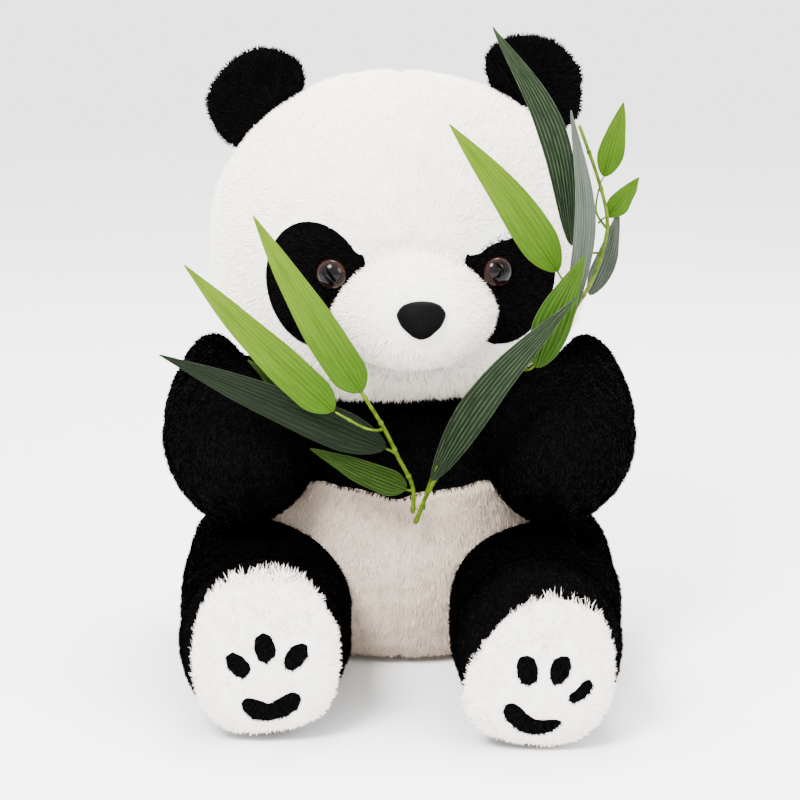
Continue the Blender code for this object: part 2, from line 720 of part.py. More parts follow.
def make_bamboo():
    """A short branch across the chest and a long one up past the left ear."""
    short_foot = Vector((0.0080, -0.1240, 0.1060))
    long_foot = Vector((0.0125, -0.1240, 0.1080))
    make_stem("stem_short", (
        short_foot, (0.0078, -0.130, 0.1301), (-0.0012, -0.140, 0.1516),
        (-0.0100, -0.152, 0.1730), (-0.0225, -0.166, 0.1960),
    ), STEM_RADIUS, short_foot)
    make_stem("twig_short", (
        (-0.0130, -0.1590, 0.1745), (-0.0221, -0.1625, 0.1760), (-0.0385, -0.1665, 0.1858),
    ), TWIG_RADIUS, short_foot)
    make_leaf("leaf_a", (-0.0232, -0.1675, 0.1990), (-0.0890, -0.152, 0.3045), 0.026,
              LIGHT_GREEN, short_foot)
    make_leaf("leaf_b", (-0.0402, -0.1670, 0.1872), (-0.1310, -0.150, 0.2740), 0.026,
              LIGHT_GREEN, short_foot)
    make_leaf("leaf_c", (-0.0085, -0.1475, 0.1590), (-0.1445, -0.176, 0.2240), 0.025,
              DARK_GREEN, short_foot, 0.003)
    make_leaf("leaf_d", (-0.0440, -0.1540, 0.1800), (-0.0880, -0.1555, 0.2130), 0.011,
              LIGHT_GREEN, short_foot, 0.001)
    make_leaf("leaf_e", (0.0040, -0.1330, 0.1290), (-0.0375, -0.150, 0.1500), 0.015,
              MID_GREEN, short_foot, 0.004)

    make_stem("stem_long", (
        long_foot, (0.0220, -0.1330, 0.1350), (0.0550, -0.1530, 0.1890),
        (0.0920, -0.1500, 0.2280), (0.1130, -0.1250, 0.2560), (0.1215, -0.1080, 0.2850),
        (0.1225, -0.0990, 0.3060), (0.1135, -0.0930, 0.3480),
    ), STEM_RADIUS, long_foot)
    make_leaf("leaf_f", (0.0195, -0.1430, 0.1370), (0.1040, -0.160, 0.2540), 0.024,
              DARK_GREEN, long_foot, 0.014)
    make_leaf("leaf_g", (0.1050, -0.1160, 0.3050), (0.0569, -0.105, 0.4140), 0.021,
              DARK_GREEN, long_foot, 0.006)
    make_leaf("leaf_h", (0.0950, -0.1360, 0.2640), (0.0300, -0.130, 0.3570), 0.029,
              LIGHT_GREEN, long_foot)
    make_leaf("leaf_i", (0.1100, -0.1440, 0.2300), (0.1070, -0.113, 0.3600), 0.015,
              GREY_GREEN, long_foot, 0.004)
    make_leaf("leaf_j", (0.0830, -0.1560, 0.2150), (0.1120, -0.150, 0.2800), 0.026,
              MID_GREEN, long_foot, 0.002)
    make_leaf("leaf_k", (0.1250, -0.1080, 0.2560), (0.1400, -0.091, 0.3010), 0.014,
              GREY_GREEN, long_foot, 0.004)
    make_leaf("leaf_l", (0.1275, -0.0960, 0.3210), (0.1390, -0.088, 0.3660), 0.017,
              LIGHT_GREEN, long_foot, 0.003)
    make_leaf("leaf_m", (0.1285, -0.0980, 0.2960), (0.1500, -0.087, 0.3190), 0.014,
              LIGHT_GREEN, long_foot, 0.002)


# ---------------------------------------------------------------- the whole toy

clear_scene()
panda = new_collection("plush_panda")
cutters = new_collection("cutters")

head_skin, head_filling = make_head()
make_muzzle()
make_nose()
make_body()
for side, sign in SIDES.items():
    make_eye(side, sign, head_skin, head_filling)
    make_ear(side)
    make_arm(side, sign)
    make_leg(side, sign)
    make_foot(side, sign)
make_bamboo()
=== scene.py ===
"""The plush panda's looks: sculpted stuffed shapes under a pile of real strands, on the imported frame.

Metres, with X to the toy's own left, Y to its back and Z up. The head's pieces are shaped in the
head's own front view and then turned with it.
"""

from math import cos, pi, radians, sin

import bpy
import numpy as np
from mathutils import Matrix, Vector


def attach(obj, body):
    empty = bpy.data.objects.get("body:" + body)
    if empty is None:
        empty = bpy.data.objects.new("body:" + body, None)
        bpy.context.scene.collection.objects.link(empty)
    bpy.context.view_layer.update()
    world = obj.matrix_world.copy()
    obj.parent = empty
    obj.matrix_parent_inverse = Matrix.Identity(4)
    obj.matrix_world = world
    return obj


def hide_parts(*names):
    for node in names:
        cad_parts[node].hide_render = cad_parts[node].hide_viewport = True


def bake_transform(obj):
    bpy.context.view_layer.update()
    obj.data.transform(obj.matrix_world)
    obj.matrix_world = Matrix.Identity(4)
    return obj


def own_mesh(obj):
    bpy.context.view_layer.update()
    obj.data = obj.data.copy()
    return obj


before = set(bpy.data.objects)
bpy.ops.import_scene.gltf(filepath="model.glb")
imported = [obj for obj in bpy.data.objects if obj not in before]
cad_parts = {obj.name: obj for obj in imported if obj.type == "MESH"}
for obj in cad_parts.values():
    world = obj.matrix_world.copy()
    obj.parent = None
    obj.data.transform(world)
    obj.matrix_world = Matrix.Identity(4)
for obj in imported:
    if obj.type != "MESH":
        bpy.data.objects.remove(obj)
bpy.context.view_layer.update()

SIDES = {"left": 1, "right": -1}

# Frame
BODY_Y = -0.005
SHOULDER = np.array((0.1085, 0.0, 0.160))
HIP = np.array((0.082, -0.018, 0.048))
HEAD_YAW = radians(4.8)
HEAD_TURN = np.array(Matrix.Rotation(HEAD_YAW, 3, "Z"))

# How far the stuffed shapes stay inside the frame's, to leave room for their pile
PILE_ROOM = 0.0032

# Head
HEAD_MIDDLE = np.array((0.0, -0.005, 0.268))
HEAD_RADII = np.array((0.127, 0.112, 0.112))
HEAD_POWER = 2.4
CROWN_POWER = 2.1
HEAD_UNDERSIDE = 0.1715
MUZZLE_MIDDLE = np.array((0.0, -0.106, 0.2395))
MUZZLE_RADII = np.array((0.0535, 0.047, 0.041))
MUZZLE_TAPER = 0.2
NOSE_MIDDLE = (0.0005, 0.2405)
NOSE_OUTLINE = (
    (0.0000, 0.0112), (0.0063, 0.0106), (0.0121, 0.0083), (0.0158, 0.0028), (0.0124, -0.0046),
    (0.0050, -0.0112), (0.0000, -0.0129), (-0.0050, -0.0112), (-0.0124, -0.0046),
    (-0.0158, 0.0028), (-0.0121, 0.0083), (-0.0063, 0.0106),
)
NOSE_HEIGHT = 0.0085
NOSE_SINK = 0.0012
EYE_PLACE = (0.0516, 0.2625)
EYE_RADIUS = 0.0097
EYE_HEIGHT = 0.0070
EYE_SEAT = 0.0012        # its foot above the head's cloth
EYE_BACK = 0.003         # and its back below that foot
EYE_RIM = ((1.03, -0.0006), (0.98, -0.0016), (0.3, -EYE_BACK))  # share of the radius, and level
PATCH_MIDDLE = (0.0625, 0.2530)
PATCH_SIZE = (0.0300, 0.0415)
PATCH_TILT = radians(10)
PATCH_HEIGHT = 0.0026
PATCH_SINK = 0.0014
EAR_SIZE = (0.0355, 0.0115, 0.0310, 0.0165)  # across, front to back, above, below
EAR_ANGLE = {"left": radians(49.4), "right": radians(135.3)}
EAR_SETBACK = 0.002
EAR_DEPTH = {"left": 0.004, "right": 0.0082}  # how far each ear's foot is sunk into the head

# Torso: level, half width, half depth to the front, half depth to the back
TORSO = np.array((
    (0.0040, 0.0800, 0.0840, 0.0840),
    (0.0075, 0.0900, 0.0930, 0.0930),
    (0.0160, 0.0985, 0.0990, 0.0990),
    (0.0400, 0.1090, 0.1040, 0.1040),
    (0.0680, 0.1135, 0.1075, 0.1070),
    (0.0960, 0.1110, 0.1050, 0.1040),
    (0.1220, 0.1040, 0.0985, 0.0985),
    (0.1400, 0.0965, 0.0965, 0.0935),
    (0.1520, 0.0880, 0.0945, 0.0875),
    (0.1610, 0.0770, 0.0890, 0.0790),
    (0.1670, 0.0620, 0.0780, 0.0650),
    (0.1700, 0.0430, 0.0560, 0.0450),
    (0.1712, 0.0200, 0.0240, 0.0200),
))
YOKE_SEAM = 0.1225
COLLAR_BELOW = 0.1490    # above this level the yoke is made as a separate collar
COLLAR_GAP = 0.0006

# Limbs
LIMB_AROUND = 84  # points in each ring of a limb
ARM_POWER = 2.2   # how square the outer half of an arm's top is, where 2 is round
THIGH_POWER = 2.7
ARM_REACH = np.array((-0.011, -0.153, -0.012))
ARM_SHOULDER_SIZE = (0.0450, 0.0480)
ARM_PAW_SIZE = (0.0535, 0.0545)
LEG_LENGTH = {"left": 0.238, "right": 0.224}
LEG_THIGH_SIZE = (0.0530, 0.0470)
LEG_FOOT_SIZE = (0.0525, 0.0570)
THIGH_FULLER = 0.17  # how much the stuffing swells a thigh's outer half
FOOT_START = 0.165
FOOT_END = 0.205
SOLE_SWELL = 0.0060
SOLE_SINK = 0.0005
SOLE_ROUNDNESS = 0.42
PAD_HEIGHT = 0.0021
PAD_SINK = 0.0006
SOLE_MARGIN = 0.965  # the share of the sole's outline that its backing reaches; its pile does the rest
# Soles, from the hip: the middle across and up, and places around the outline from there
SOLES = {
    "left": ((-0.0008, 0.0030), (
        (0.0079, 0.0487), (0.0257, 0.0449), (0.0385, 0.0339), (0.0449, 0.0160), (0.0457, -0.0037),
        (0.0441, -0.0209), (0.0374, -0.0348), (0.0241, -0.0461), (0.0069, -0.0487), (-0.0169, -0.0465),
        (-0.0358, -0.0400), (-0.0444, -0.0270), (-0.0457, -0.0149), (-0.0418, 0.0049),
        (-0.0322, 0.0211), (-0.0218, 0.0339), (-0.0073, 0.0436),
    )),
    "right": ((0.0025, 0.0088), (
        (-0.0004, 0.0527), (0.0143, 0.0503), (0.0268, 0.0434), (0.0327, 0.0372), (0.0393, 0.0239),
        (0.0444, 0.0130), (0.0451, -0.0050), (0.0435, -0.0216), (0.0397, -0.0335), (0.0343, -0.0407),
        (0.0245, -0.0463), (0.0057, -0.0503), (-0.0169, -0.0522), (-0.0229, -0.0510), (-0.0318, -0.0455),
        (-0.0406, -0.0327), (-0.0451, -0.0129), (-0.0447, 0.0067), (-0.0409, 0.0263), (-0.0318, 0.0387),
        (-0.0183, 0.0484),
    )),
}
# Foot pads, from the hip in the same way
FOOT_PADS = {
    "left": {
        "toe_pad_inner": ((-0.0079, 0.0058), (
            (-0.0063, 0.0037), (-0.0047, 0.0079), (0.0001, 0.0092), (0.0042, 0.0071), (0.0063, 0.0011),
            (0.0060, -0.0058), (0.0020, -0.0092), (-0.0029, -0.0084), (-0.0058, -0.0023),
        )),
        "toe_pad_middle": ((0.0115, 0.0056), (
            (-0.0062, 0.0013), (-0.0042, 0.0064), (0.0002, 0.0090), (0.0047, 0.0086), (0.0062, 0.0030),
            (0.0045, -0.0038), (0.0005, -0.0081), (-0.0040, -0.0090), (-0.0062, -0.0047),
        )),
        "toe_pad_outer": ((0.0250, -0.0090), (
            (-0.0083, -0.0043), (-0.0084, -0.0005), (-0.0052, 0.0017), (-0.0024, 0.0047),
            (0.0000, 0.0077), (0.0037, 0.0090), (0.0056, 0.0060), (0.0042, 0.0017),
            (0.0002, -0.0030), (-0.0054, -0.0058),
        )),
        "heel_pad": ((-0.0062, -0.0293), (
            (-0.0156, 0.0099), (-0.0138, 0.0143), (-0.0093, 0.0151), (-0.0052, 0.0121), (-0.0015, 0.0078),
            (0.0031, 0.0047), (0.0080, 0.0039), (0.0145, 0.0047), (0.0198, 0.0034), (0.0170, -0.0005),
            (0.0114, -0.0044), (0.0032, -0.0059), (-0.0050, -0.0039), (-0.0116, 0.0017),
            (-0.0149, 0.0060),
        )),
    },
    "right": {
        "toe_pad_outer": ((-0.0133, 0.0038), (
            (-0.0074, 0.0051), (-0.0032, 0.0083), (0.0027, 0.0055), (0.0071, 0.0004), (0.0074, -0.0035),
            (0.0032, -0.0083), (-0.0012, -0.0067), (-0.0064, -0.0012),
        )),
        "toe_pad_middle": ((0.0025, 0.0146), (
            (-0.0055, 0.0061), (-0.0010, 0.0096), (0.0034, 0.0077), (0.0063, 0.0014), (0.0063, -0.0049),
            (0.0010, -0.0096), (-0.0038, -0.0073), (-0.0063, -0.0002),
        )),
        "toe_pad_inner": ((0.0207, 0.0090), (
            (-0.0071, -0.0032), (-0.0056, 0.0023), (-0.0014, 0.0070), (0.0038, 0.0086), (0.0071, 0.0070),
            (0.0071, 0.0007), (0.0029, -0.0056), (-0.0023, -0.0086), (-0.0061, -0.0072),
        )),
        "heel_pad": ((0.0050, -0.0256), (
            (-0.0172, 0.0049), (-0.0153, 0.0085), (-0.0123, 0.0093), (-0.0085, 0.0083), (-0.0041, 0.0067),
            (-0.0007, 0.0053), (0.0027, 0.0069), (0.0057, 0.0089), (0.0099, 0.0113), (0.0136, 0.0132),
            (0.0181, 0.0109), (0.0188, 0.0077), (0.0169, 0.0021), (0.0108, -0.0026), (-0.0005, -0.0062),
            (-0.0102, -0.0050), (-0.0154, 0.0005),
        )),
    },
}

# Pile: strands to the square centimetre, lengths and widths
WHITE_PER_CM2 = 72.0
BLACK_PER_CM2 = 56.0
WHITE_LENGTH = 0.0060
BLACK_LENGTH = 0.0044
PATCH_PILE = 0.0040
PAD_PILE = 0.0026
STRAND_WIDTH = 0.00064
FLOOR_ROOM = 0.0003   # between the floor and the lowest strand
MOST_STRANDS = 60000  # in one piece
SHADE_SHARES = (0.5, 0.27, 0.23)  # of a pile's strands in each of its shades

# Leaves
RIBS_ACROSS = 8
LEAF_TAPER = 1.55
# Leaves drawn darker than the rest of their finish: d and e in painted shade, c darker with fainter ribs
DARKER_LEAVES = {"leaf_c": "leaf_deep", "leaf_d": "leaf_shaded", "leaf_e": "leaf_shaded"}

# Studio
WORLD_LIGHT = 3.0
WORLD_COLOUR = (1.0, 0.995, 0.985, 1.0)
LAMPS = (  # name, place, width and power
    ("key", (-0.7, -1.4, 1.6), 0.8, 130.0),
    ("fill", (1.2, -1.3, 0.9), 1.0, 30.0),
    ("top", (0.1, 0.4, 1.7), 0.9, 60.0),
)
LAMP_TARGET = Vector((0, 0, 0.2))
CAMERA_TARGET = Vector((0.0, 0.0, 0.1556))
CAMERA_DOWN = radians(13.0)
CAMERA_DISTANCE = 1.572
SENSOR_WIDTH = 36.0
FOCAL_LENGTH = 2.885  # as a multiple of the sensor's width
CAMERA_LENS = FOCAL_LENGTH * SENSOR_WIDTH


# ---------------------------------------------------------------- materials

def principled(name, roughness, sheen=0.0, specular=0.5, colour=(0.8, 0.8, 0.8)):
    """A new material of one shader, with the node tree to build its pattern in."""
    look = bpy.data.materials.new(name)
    look.use_nodes = True
    shader = look.node_tree.nodes["Principled BSDF"]
    shader.inputs["Base Color"].default_value = (*colour, 1.0)
    shader.inputs["Roughness"].default_value = roughness
    shader.inputs["Specular IOR Level"].default_value = specular
    shader.inputs["Sheen Weight"].default_value = sheen
    shader.inputs["Sheen Roughness"].default_value = 0.5
    return look, look.node_tree, shader


def ramp(tree, source, stops):
    node = tree.nodes.new("ShaderNodeValToRGB")
    elements = node.color_ramp.elements
    while len(elements) < len(stops):
        elements.new(0.5)
    for element, (place, colour) in zip(elements, stops):
        element.position = place
        element.color = (*colour, 1.0)
    tree.links.new(source, node.inputs["Fac"])
    return node.outputs["Color"]


def noise(tree, where, scale, detail=3.0, stretch=None):
    if stretch is not None:
        mapping = tree.nodes.new("ShaderNodeMapping")
        mapping.inputs["Scale"].default_value = stretch
        tree.links.new(where, mapping.inputs["Vector"])
        where = mapping.outputs["Vector"]
    node = tree.nodes.new("ShaderNodeTexNoise")
    node.inputs["Scale"].default_value = scale
    node.inputs["Detail"].default_value = detail
    tree.links.new(where, node.inputs["Vector"])
    return node.outputs["Fac"]


def calculated(tree, operation, first, second=None):
    """The result of one sum; the second value may be a number or another result."""
    node = tree.nodes.new("ShaderNodeMath")
    node.operation = operation
    tree.links.new(first, node.inputs[0])
    if isinstance(second, float):
        node.inputs[1].default_value = second
    elif second is not None:
        tree.links.new(second, node.inputs[1])
    return node.outputs["Value"]


def bump(tree, shader, height, strength, distance):
    node = tree.nodes.new("ShaderNodeBump")
    node.inputs["Strength"].default_value = strength
    node.inputs["Distance"].default_value = distance
    tree.links.new(height, node.inputs["Height"])
    tree.links.new(node.outputs["Normal"], shader.inputs["Normal"])


def backing_look(name, low, high, sheen, specular=0.3):
    """The knitted backing that a pile stands on: mottled, with a fine nap."""
    look, tree, shader = principled(name, 0.95, sheen=sheen, specular=specular)
    where = tree.nodes.new("ShaderNodeTexCoord").outputs["Object"]
    mottle = noise(tree, where, 140.0, 4.0)
    tree.links.new(ramp(tree, mottle, ((0.3, low), (0.7, high))), shader.inputs["Base Color"])
    bump(tree, shader, noise(tree, where, 1400.0, 2.0), 0.6, 0.0006)
    return look


def strand_looks(name, colours, roughness, sheen, specular):
    """One finish for each shade of strand in a pile."""
    looks = []
    for number, colour in enumerate(colours):
        look, *_ = principled(
            f"{name}_{number + 1}", roughness, sheen=sheen, specular=specular, colour=colour,
        )
        looks.append(look)
    return looks


def leaf_look(name, base, tip, rib, groove, rib_share):
    """Printed and ribbed fabric: it pales towards its tip, with broken ribs, streaks and a weave."""
    look, tree, shader = principled(name, 0.62, specular=0.07)
    uv = tree.nodes.new("ShaderNodeUVMap")
    uv.uv_map = "leaf"
    where = uv.outputs["UV"]
    split = tree.nodes.new("ShaderNodeSeparateXYZ")
    tree.links.new(where, split.inputs["Vector"])
    colour = ramp(tree, split.outputs["Y"], ((0.10, base), (0.85, tip)))
    wave = calculated(tree, "COSINE", calculated(
        tree, "MULTIPLY", split.outputs["X"], 2 * pi * RIBS_ACROSS,
    ))
    line = ramp(tree, wave, ((0.70, (0, 0, 0)), (0.98, (1, 1, 1))))
    broken = ramp(tree, noise(tree, where, 9.0, 4.0, (5.0, 1.2, 1.0)),
                  ((0.36, (0.1, 0.1, 0.1)), (0.62, (1, 1, 1))))
    rib_part = calculated(tree, "MULTIPLY", line, broken)
    streaks = ramp(tree, noise(tree, where, 11.0, 6.0, (7.0, 0.45, 1.0)),
                   ((0.44, (0, 0, 0)), (0.64, (1, 1, 1))))
    blotches = ramp(tree, noise(tree, where, 4.0, 3.0),
                    ((0.40, (0, 0, 0)), (0.70, (1, 1, 1))))
    for part, share, paint in (
        (blotches, 0.30, groove), (streaks, 0.50, groove), (rib_part, rib_share, rib),
    ):
        mix = tree.nodes.new("ShaderNodeMix")
        mix.data_type = "RGBA"
        tree.links.new(calculated(tree, "MULTIPLY", part, share), mix.inputs["Factor"])
        tree.links.new(colour, mix.inputs["A"])
        mix.inputs["B"].default_value = (*paint, 1.0)
        colour = mix.outputs["Result"]
    tree.links.new(colour, shader.inputs["Base Color"])
    weave = noise(tree, where, 240.0, 2.0, (0.5, 2.2, 1.0))
    height = calculated(tree, "ADD", weave, line)
    bump(tree, shader, height, 0.5, 0.0003)
    return look


# The white plush's backing darkened and warmed: painted shade for the belly, under the head and arms
SHADED_BELLY_BACKING = backing_look(
    "shaded_belly_backing", (0.45, 0.36, 0.29), (0.50, 0.41, 0.33), 0.0, specular=0.05,
)
WHITE_BACKING = backing_look("white_backing", (0.66, 0.635, 0.59), (0.80, 0.78, 0.74), 0.25)
BLACK_BACKING = backing_look(
    "black_backing", (0.0006, 0.0006, 0.0006), (0.0012, 0.0010, 0.0012), 0.0, specular=0.0,
)
# Three shades of each pile, and a darker one: painted shade where the pile lies in a crease or under an
# overhang, and darker random blotches on the soles
WHITE_STRANDS = strand_looks("white_strand", (
    (0.95, 0.875, 0.775), (0.92, 0.835, 0.72), (0.97, 0.915, 0.835), (0.50, 0.42, 0.335),
), 0.85, 0.12, 0.2)
SOLE_STRANDS = strand_looks("sole_strand", (
    (0.88, 0.785, 0.72), (0.83, 0.725, 0.655), (0.93, 0.855, 0.80), (0.62, 0.52, 0.455),
), 0.85, 0.12, 0.2)
# The white pile darkened and warmed: painted shade for the belly, under the head and arms
SHADED_BELLY_STRANDS = strand_looks("shaded_belly_strand", (
    (0.52, 0.425, 0.345), (0.505, 0.41, 0.33), (0.545, 0.45, 0.37), (0.42, 0.33, 0.255),
), 0.9, 0.0, 0.06)
BLACK_STRANDS = strand_looks("black_strand", (
    (0.0012, 0.0010, 0.0012), (0.0018, 0.0015, 0.0017), (0.0008, 0.0008, 0.0009), (0.0005, 0.0005, 0.0005),
), 0.7, 0.0, 0.022)
LEAF_LOOKS = {  # at the base, at the tip, on the ribs, in the grooves, and how strongly ribbed
    "leaf_dark": leaf_look("leaf_dark", (0.0030, 0.0078, 0.0020), (0.0062, 0.0125, 0.0044),
                           (0.050, 0.072, 0.038), (0.0012, 0.0032, 0.0009), 0.75),
    "leaf_deep": leaf_look("leaf_deep", (0.0028, 0.0062, 0.0020), (0.0050, 0.0092, 0.0036),
                           (0.020, 0.030, 0.015), (0.0010, 0.0022, 0.0008), 0.45),
    # leaf_mid darkened: painted shade, for leaves d and e
    "leaf_shaded": leaf_look("leaf_shaded", (0.0095, 0.027, 0.0012), (0.0075, 0.022, 0.0010),
                             (0.060, 0.100, 0.018), (0.0030, 0.0100, 0.0005), 0.55),
    "leaf_mid": leaf_look("leaf_mid", (0.0135, 0.042, 0.0012), (0.030, 0.070, 0.0030),
                          (0.085, 0.14, 0.020), (0.0050, 0.020, 0.0006), 0.42),
    "leaf_light": leaf_look("leaf_light", (0.027, 0.070, 0.0011), (0.078, 0.130, 0.0048),
                            (0.12, 0.185, 0.020), (0.014, 0.045, 0.0006), 0.22),
    "leaf_grey": leaf_look("leaf_grey", (0.034, 0.043, 0.032), (0.056, 0.069, 0.055),
                           (0.11, 0.13, 0.10), (0.011, 0.015, 0.010), 0.40),
}


def stem_look():
    """Moulded stem: yellow-green with darker, rougher flecks."""
    look, tree, shader = principled("stem", 0.45, specular=0.10)
    where = tree.nodes.new("ShaderNodeTexCoord").outputs["Object"]
    flecks = noise(tree, where, 220.0, 4.0)
    stops = ((0.35, (0.030, 0.062, 0.0015)), (0.65, (0.080, 0.125, 0.004)))
    tree.links.new(ramp(tree, flecks, stops), shader.inputs["Base Color"])
    bump(tree, shader, noise(tree, where, 900.0, 2.0), 0.3, 0.0002)
    return look


def eye_look():
    """A clear dome backed with brown, its pupil black: seen as rings about the dome's own axis."""
    look, tree, shader = principled("eye", 0.07, specular=0.13)
    uv = tree.nodes.new("ShaderNodeUVMap")
    uv.uv_map = "rings"
    split = tree.nodes.new("ShaderNodeSeparateXYZ")
    tree.links.new(uv.outputs["UV"], split.inputs["Vector"])
    stops = (
        (0.00, (0.0006, 0.0006, 0.0006)), (0.45, (0.0012, 0.0009, 0.0009)),
        (0.70, (0.0040, 0.0022, 0.0019)), (0.87, (0.0160, 0.0062, 0.0046)),
        (0.95, (0.0100, 0.0038, 0.0030)), (1.00, (0.0015, 0.0010, 0.0010)),
    )
    tree.links.new(ramp(tree, split.outputs["X"], stops), shader.inputs["Base Color"])
    return look


def nose_look():
    """Black satin: a smooth moulded nose under a very fine grain."""
    look, tree, shader = principled("nose", 0.6, specular=0.025)
    where = tree.nodes.new("ShaderNodeTexCoord").outputs["Object"]
    grain = noise(tree, where, 700.0, 3.0)
    stops = ((0.3, (0.0008, 0.0007, 0.0008)), (0.7, (0.0018, 0.0015, 0.0016)))
    tree.links.new(ramp(tree, grain, stops), shader.inputs["Base Color"])
    bump(tree, shader, grain, 0.25, 0.0002)
    return look


def floor_look():
    look, tree, shader = principled("floor", 0.8, specular=0.2)
    where = tree.nodes.new("ShaderNodeTexCoord").outputs["Object"]
    stops = ((0.4, (0.93, 0.93, 0.93)), (0.6, (0.95, 0.95, 0.95)))
    tree.links.new(ramp(tree, noise(tree, where, 3.0), stops), shader.inputs["Base Color"])
    return look


# ---------------------------------------------------------------- meshes

def unit(vectors):
    return vectors / np.maximum(np.linalg.norm(vectors, axis=1), 1e-12)[:, None]


def smooth_step(value, low, high):
    t = np.clip((value - low) / (high - low), 0.0, 1.0)
    return t * t * (3 - 2 * t)


def wander(points, wavelength, seed):
    """A smooth field of vectors from -1 to 1, changing over about a wavelength."""
    rng = np.random.default_rng(seed)
    field = np.zeros((len(points), 3))
    for _ in range(7):
        way = unit(rng.normal(size=(3, 3))) * 2 * pi / wavelength * rng.uniform(0.6, 1.5)
        field += np.sin(points @ way.T + rng.uniform(0, 2 * pi, 3))
    return field / 3.0


def linked(name, data):
    obj = bpy.data.objects.new(name, data)
    bpy.context.scene.collection.objects.link(obj)
    return obj


def piece(name, points, faces, looks):
    mesh = bpy.data.meshes.new(name)
    mesh.from_pydata(points.tolist(), [], faces)
    for look in looks:
        mesh.materials.append(look)
    mesh.polygons.foreach_set("use_smooth", [True] * len(mesh.polygons))
    mesh.update()
    return linked(name, mesh)


def rings_piece(name, rings, start, end, looks):
    """A closed skin through rings of points, with a point at either end."""
    rows, around = rings.shape[:2]
    points = np.concatenate((rings.reshape(-1, 3), [start], [end]))
    faces = []
    for row in range(rows - 1):
        for i in range(around):
            j = (i + 1) % around
            low, high = row * around, (row + 1) * around
            faces.append((low + i, low + j, high + j, high + i))
    first, last = rows * around, rows * around + 1
    for i in range(around):
        j = (i + 1) % around
        faces.append((j, i, first))
        faces.append(((rows - 1) * around + i, (rows - 1) * around + j, last))
    obj = piece(name, points, faces, looks)
    if signed_volume(obj.data) < 0:
        obj.data.flip_normals()
    return obj


def vertex_places(mesh):
    places = np.empty(len(mesh.vertices) * 3)
    mesh.vertices.foreach_get("co", places)
    return places.reshape(-1, 3)


def triangle_corners(mesh):
    mesh.calc_loop_triangles()
    corners = np.empty(len(mesh.loop_triangles) * 3, np.int32)
    mesh.loop_triangles.foreach_get("vertices", corners)
    return corners.reshape(-1, 3)


def signed_volume(mesh):
    a, b, c = vertex_places(mesh)[triangle_corners(mesh)].transpose(1, 0, 2)
    return float((a * np.cross(b, c)).sum() / 6)


def reshape(obj, rule):
    obj.data.vertices.foreach_set("co", rule(vertex_places(obj.data)).ravel())
    obj.data.update()


def settle(obj):
    """The object with its modifiers made real."""
    seen = obj.evaluated_get(bpy.context.evaluated_depsgraph_get())
    mesh = bpy.data.meshes.new_from_object(seen)
    obj.modifiers.clear()
    obj.data = mesh


def ball_rings(rows, around):
    """Unit vectors in rings from one pole to the other, about Z."""
    level = np.linspace(0, pi, rows + 2)[1:-1][:, None]
    angle = np.linspace(0, 2 * pi, around, endpoint=False)[None, :]
    return np.stack((
        np.sin(level) * np.cos(angle), np.sin(level) * np.sin(angle),
        -np.cos(level) * np.ones_like(angle),
    ), axis=-1)


# ---------------------------------------------------------------- pile

def scatter(obj, per_cm2, rng):
    """Even random places on an object's surface, with the smooth normals there."""
    mesh = obj.data
    corners = triangle_corners(mesh)
    places = vertex_places(mesh)
    ups = np.empty(len(mesh.vertices) * 3)
    mesh.vertex_normals.foreach_get("vector", ups)
    ups = ups.reshape(-1, 3)
    a, b, c = places[corners].transpose(1, 0, 2)
    area = np.linalg.norm(np.cross(b - a, c - a), axis=1) / 2
    count = int(area.sum() * 1e4 * per_cm2)
    picked = rng.choice(len(area), size=count, p=area / area.sum())
    u, v = rng.random(count), rng.random(count)
    over = u + v > 1
    u[over], v[over] = 1 - u[over], 1 - v[over]
    share = np.stack((1 - u - v, u, v), axis=1)[:, :, None]
    points = (places[corners[picked]] * share).sum(1)
    normals = unit((ups[corners[picked]] * share).sum(1))
    return points, normals


def strands(name, points, faces, shades, looks):
    mesh = bpy.data.meshes.new(name)
    mesh.vertices.add(len(points))
    mesh.vertices.foreach_set("co", points.ravel())
    mesh.loops.add(faces.size)
    mesh.loops.foreach_set("vertex_index", faces.ravel())
    mesh.polygons.add(len(faces))
    mesh.polygons.foreach_set("loop_start", np.arange(0, faces.size, 3))
    mesh.polygons.foreach_set("material_index", shades)
    mesh.polygons.foreach_set("use_smooth", np.ones(len(faces), bool))
    for look in looks:
        mesh.materials.append(look)
    mesh.update(calc_edges=True)
    return linked(name, mesh)


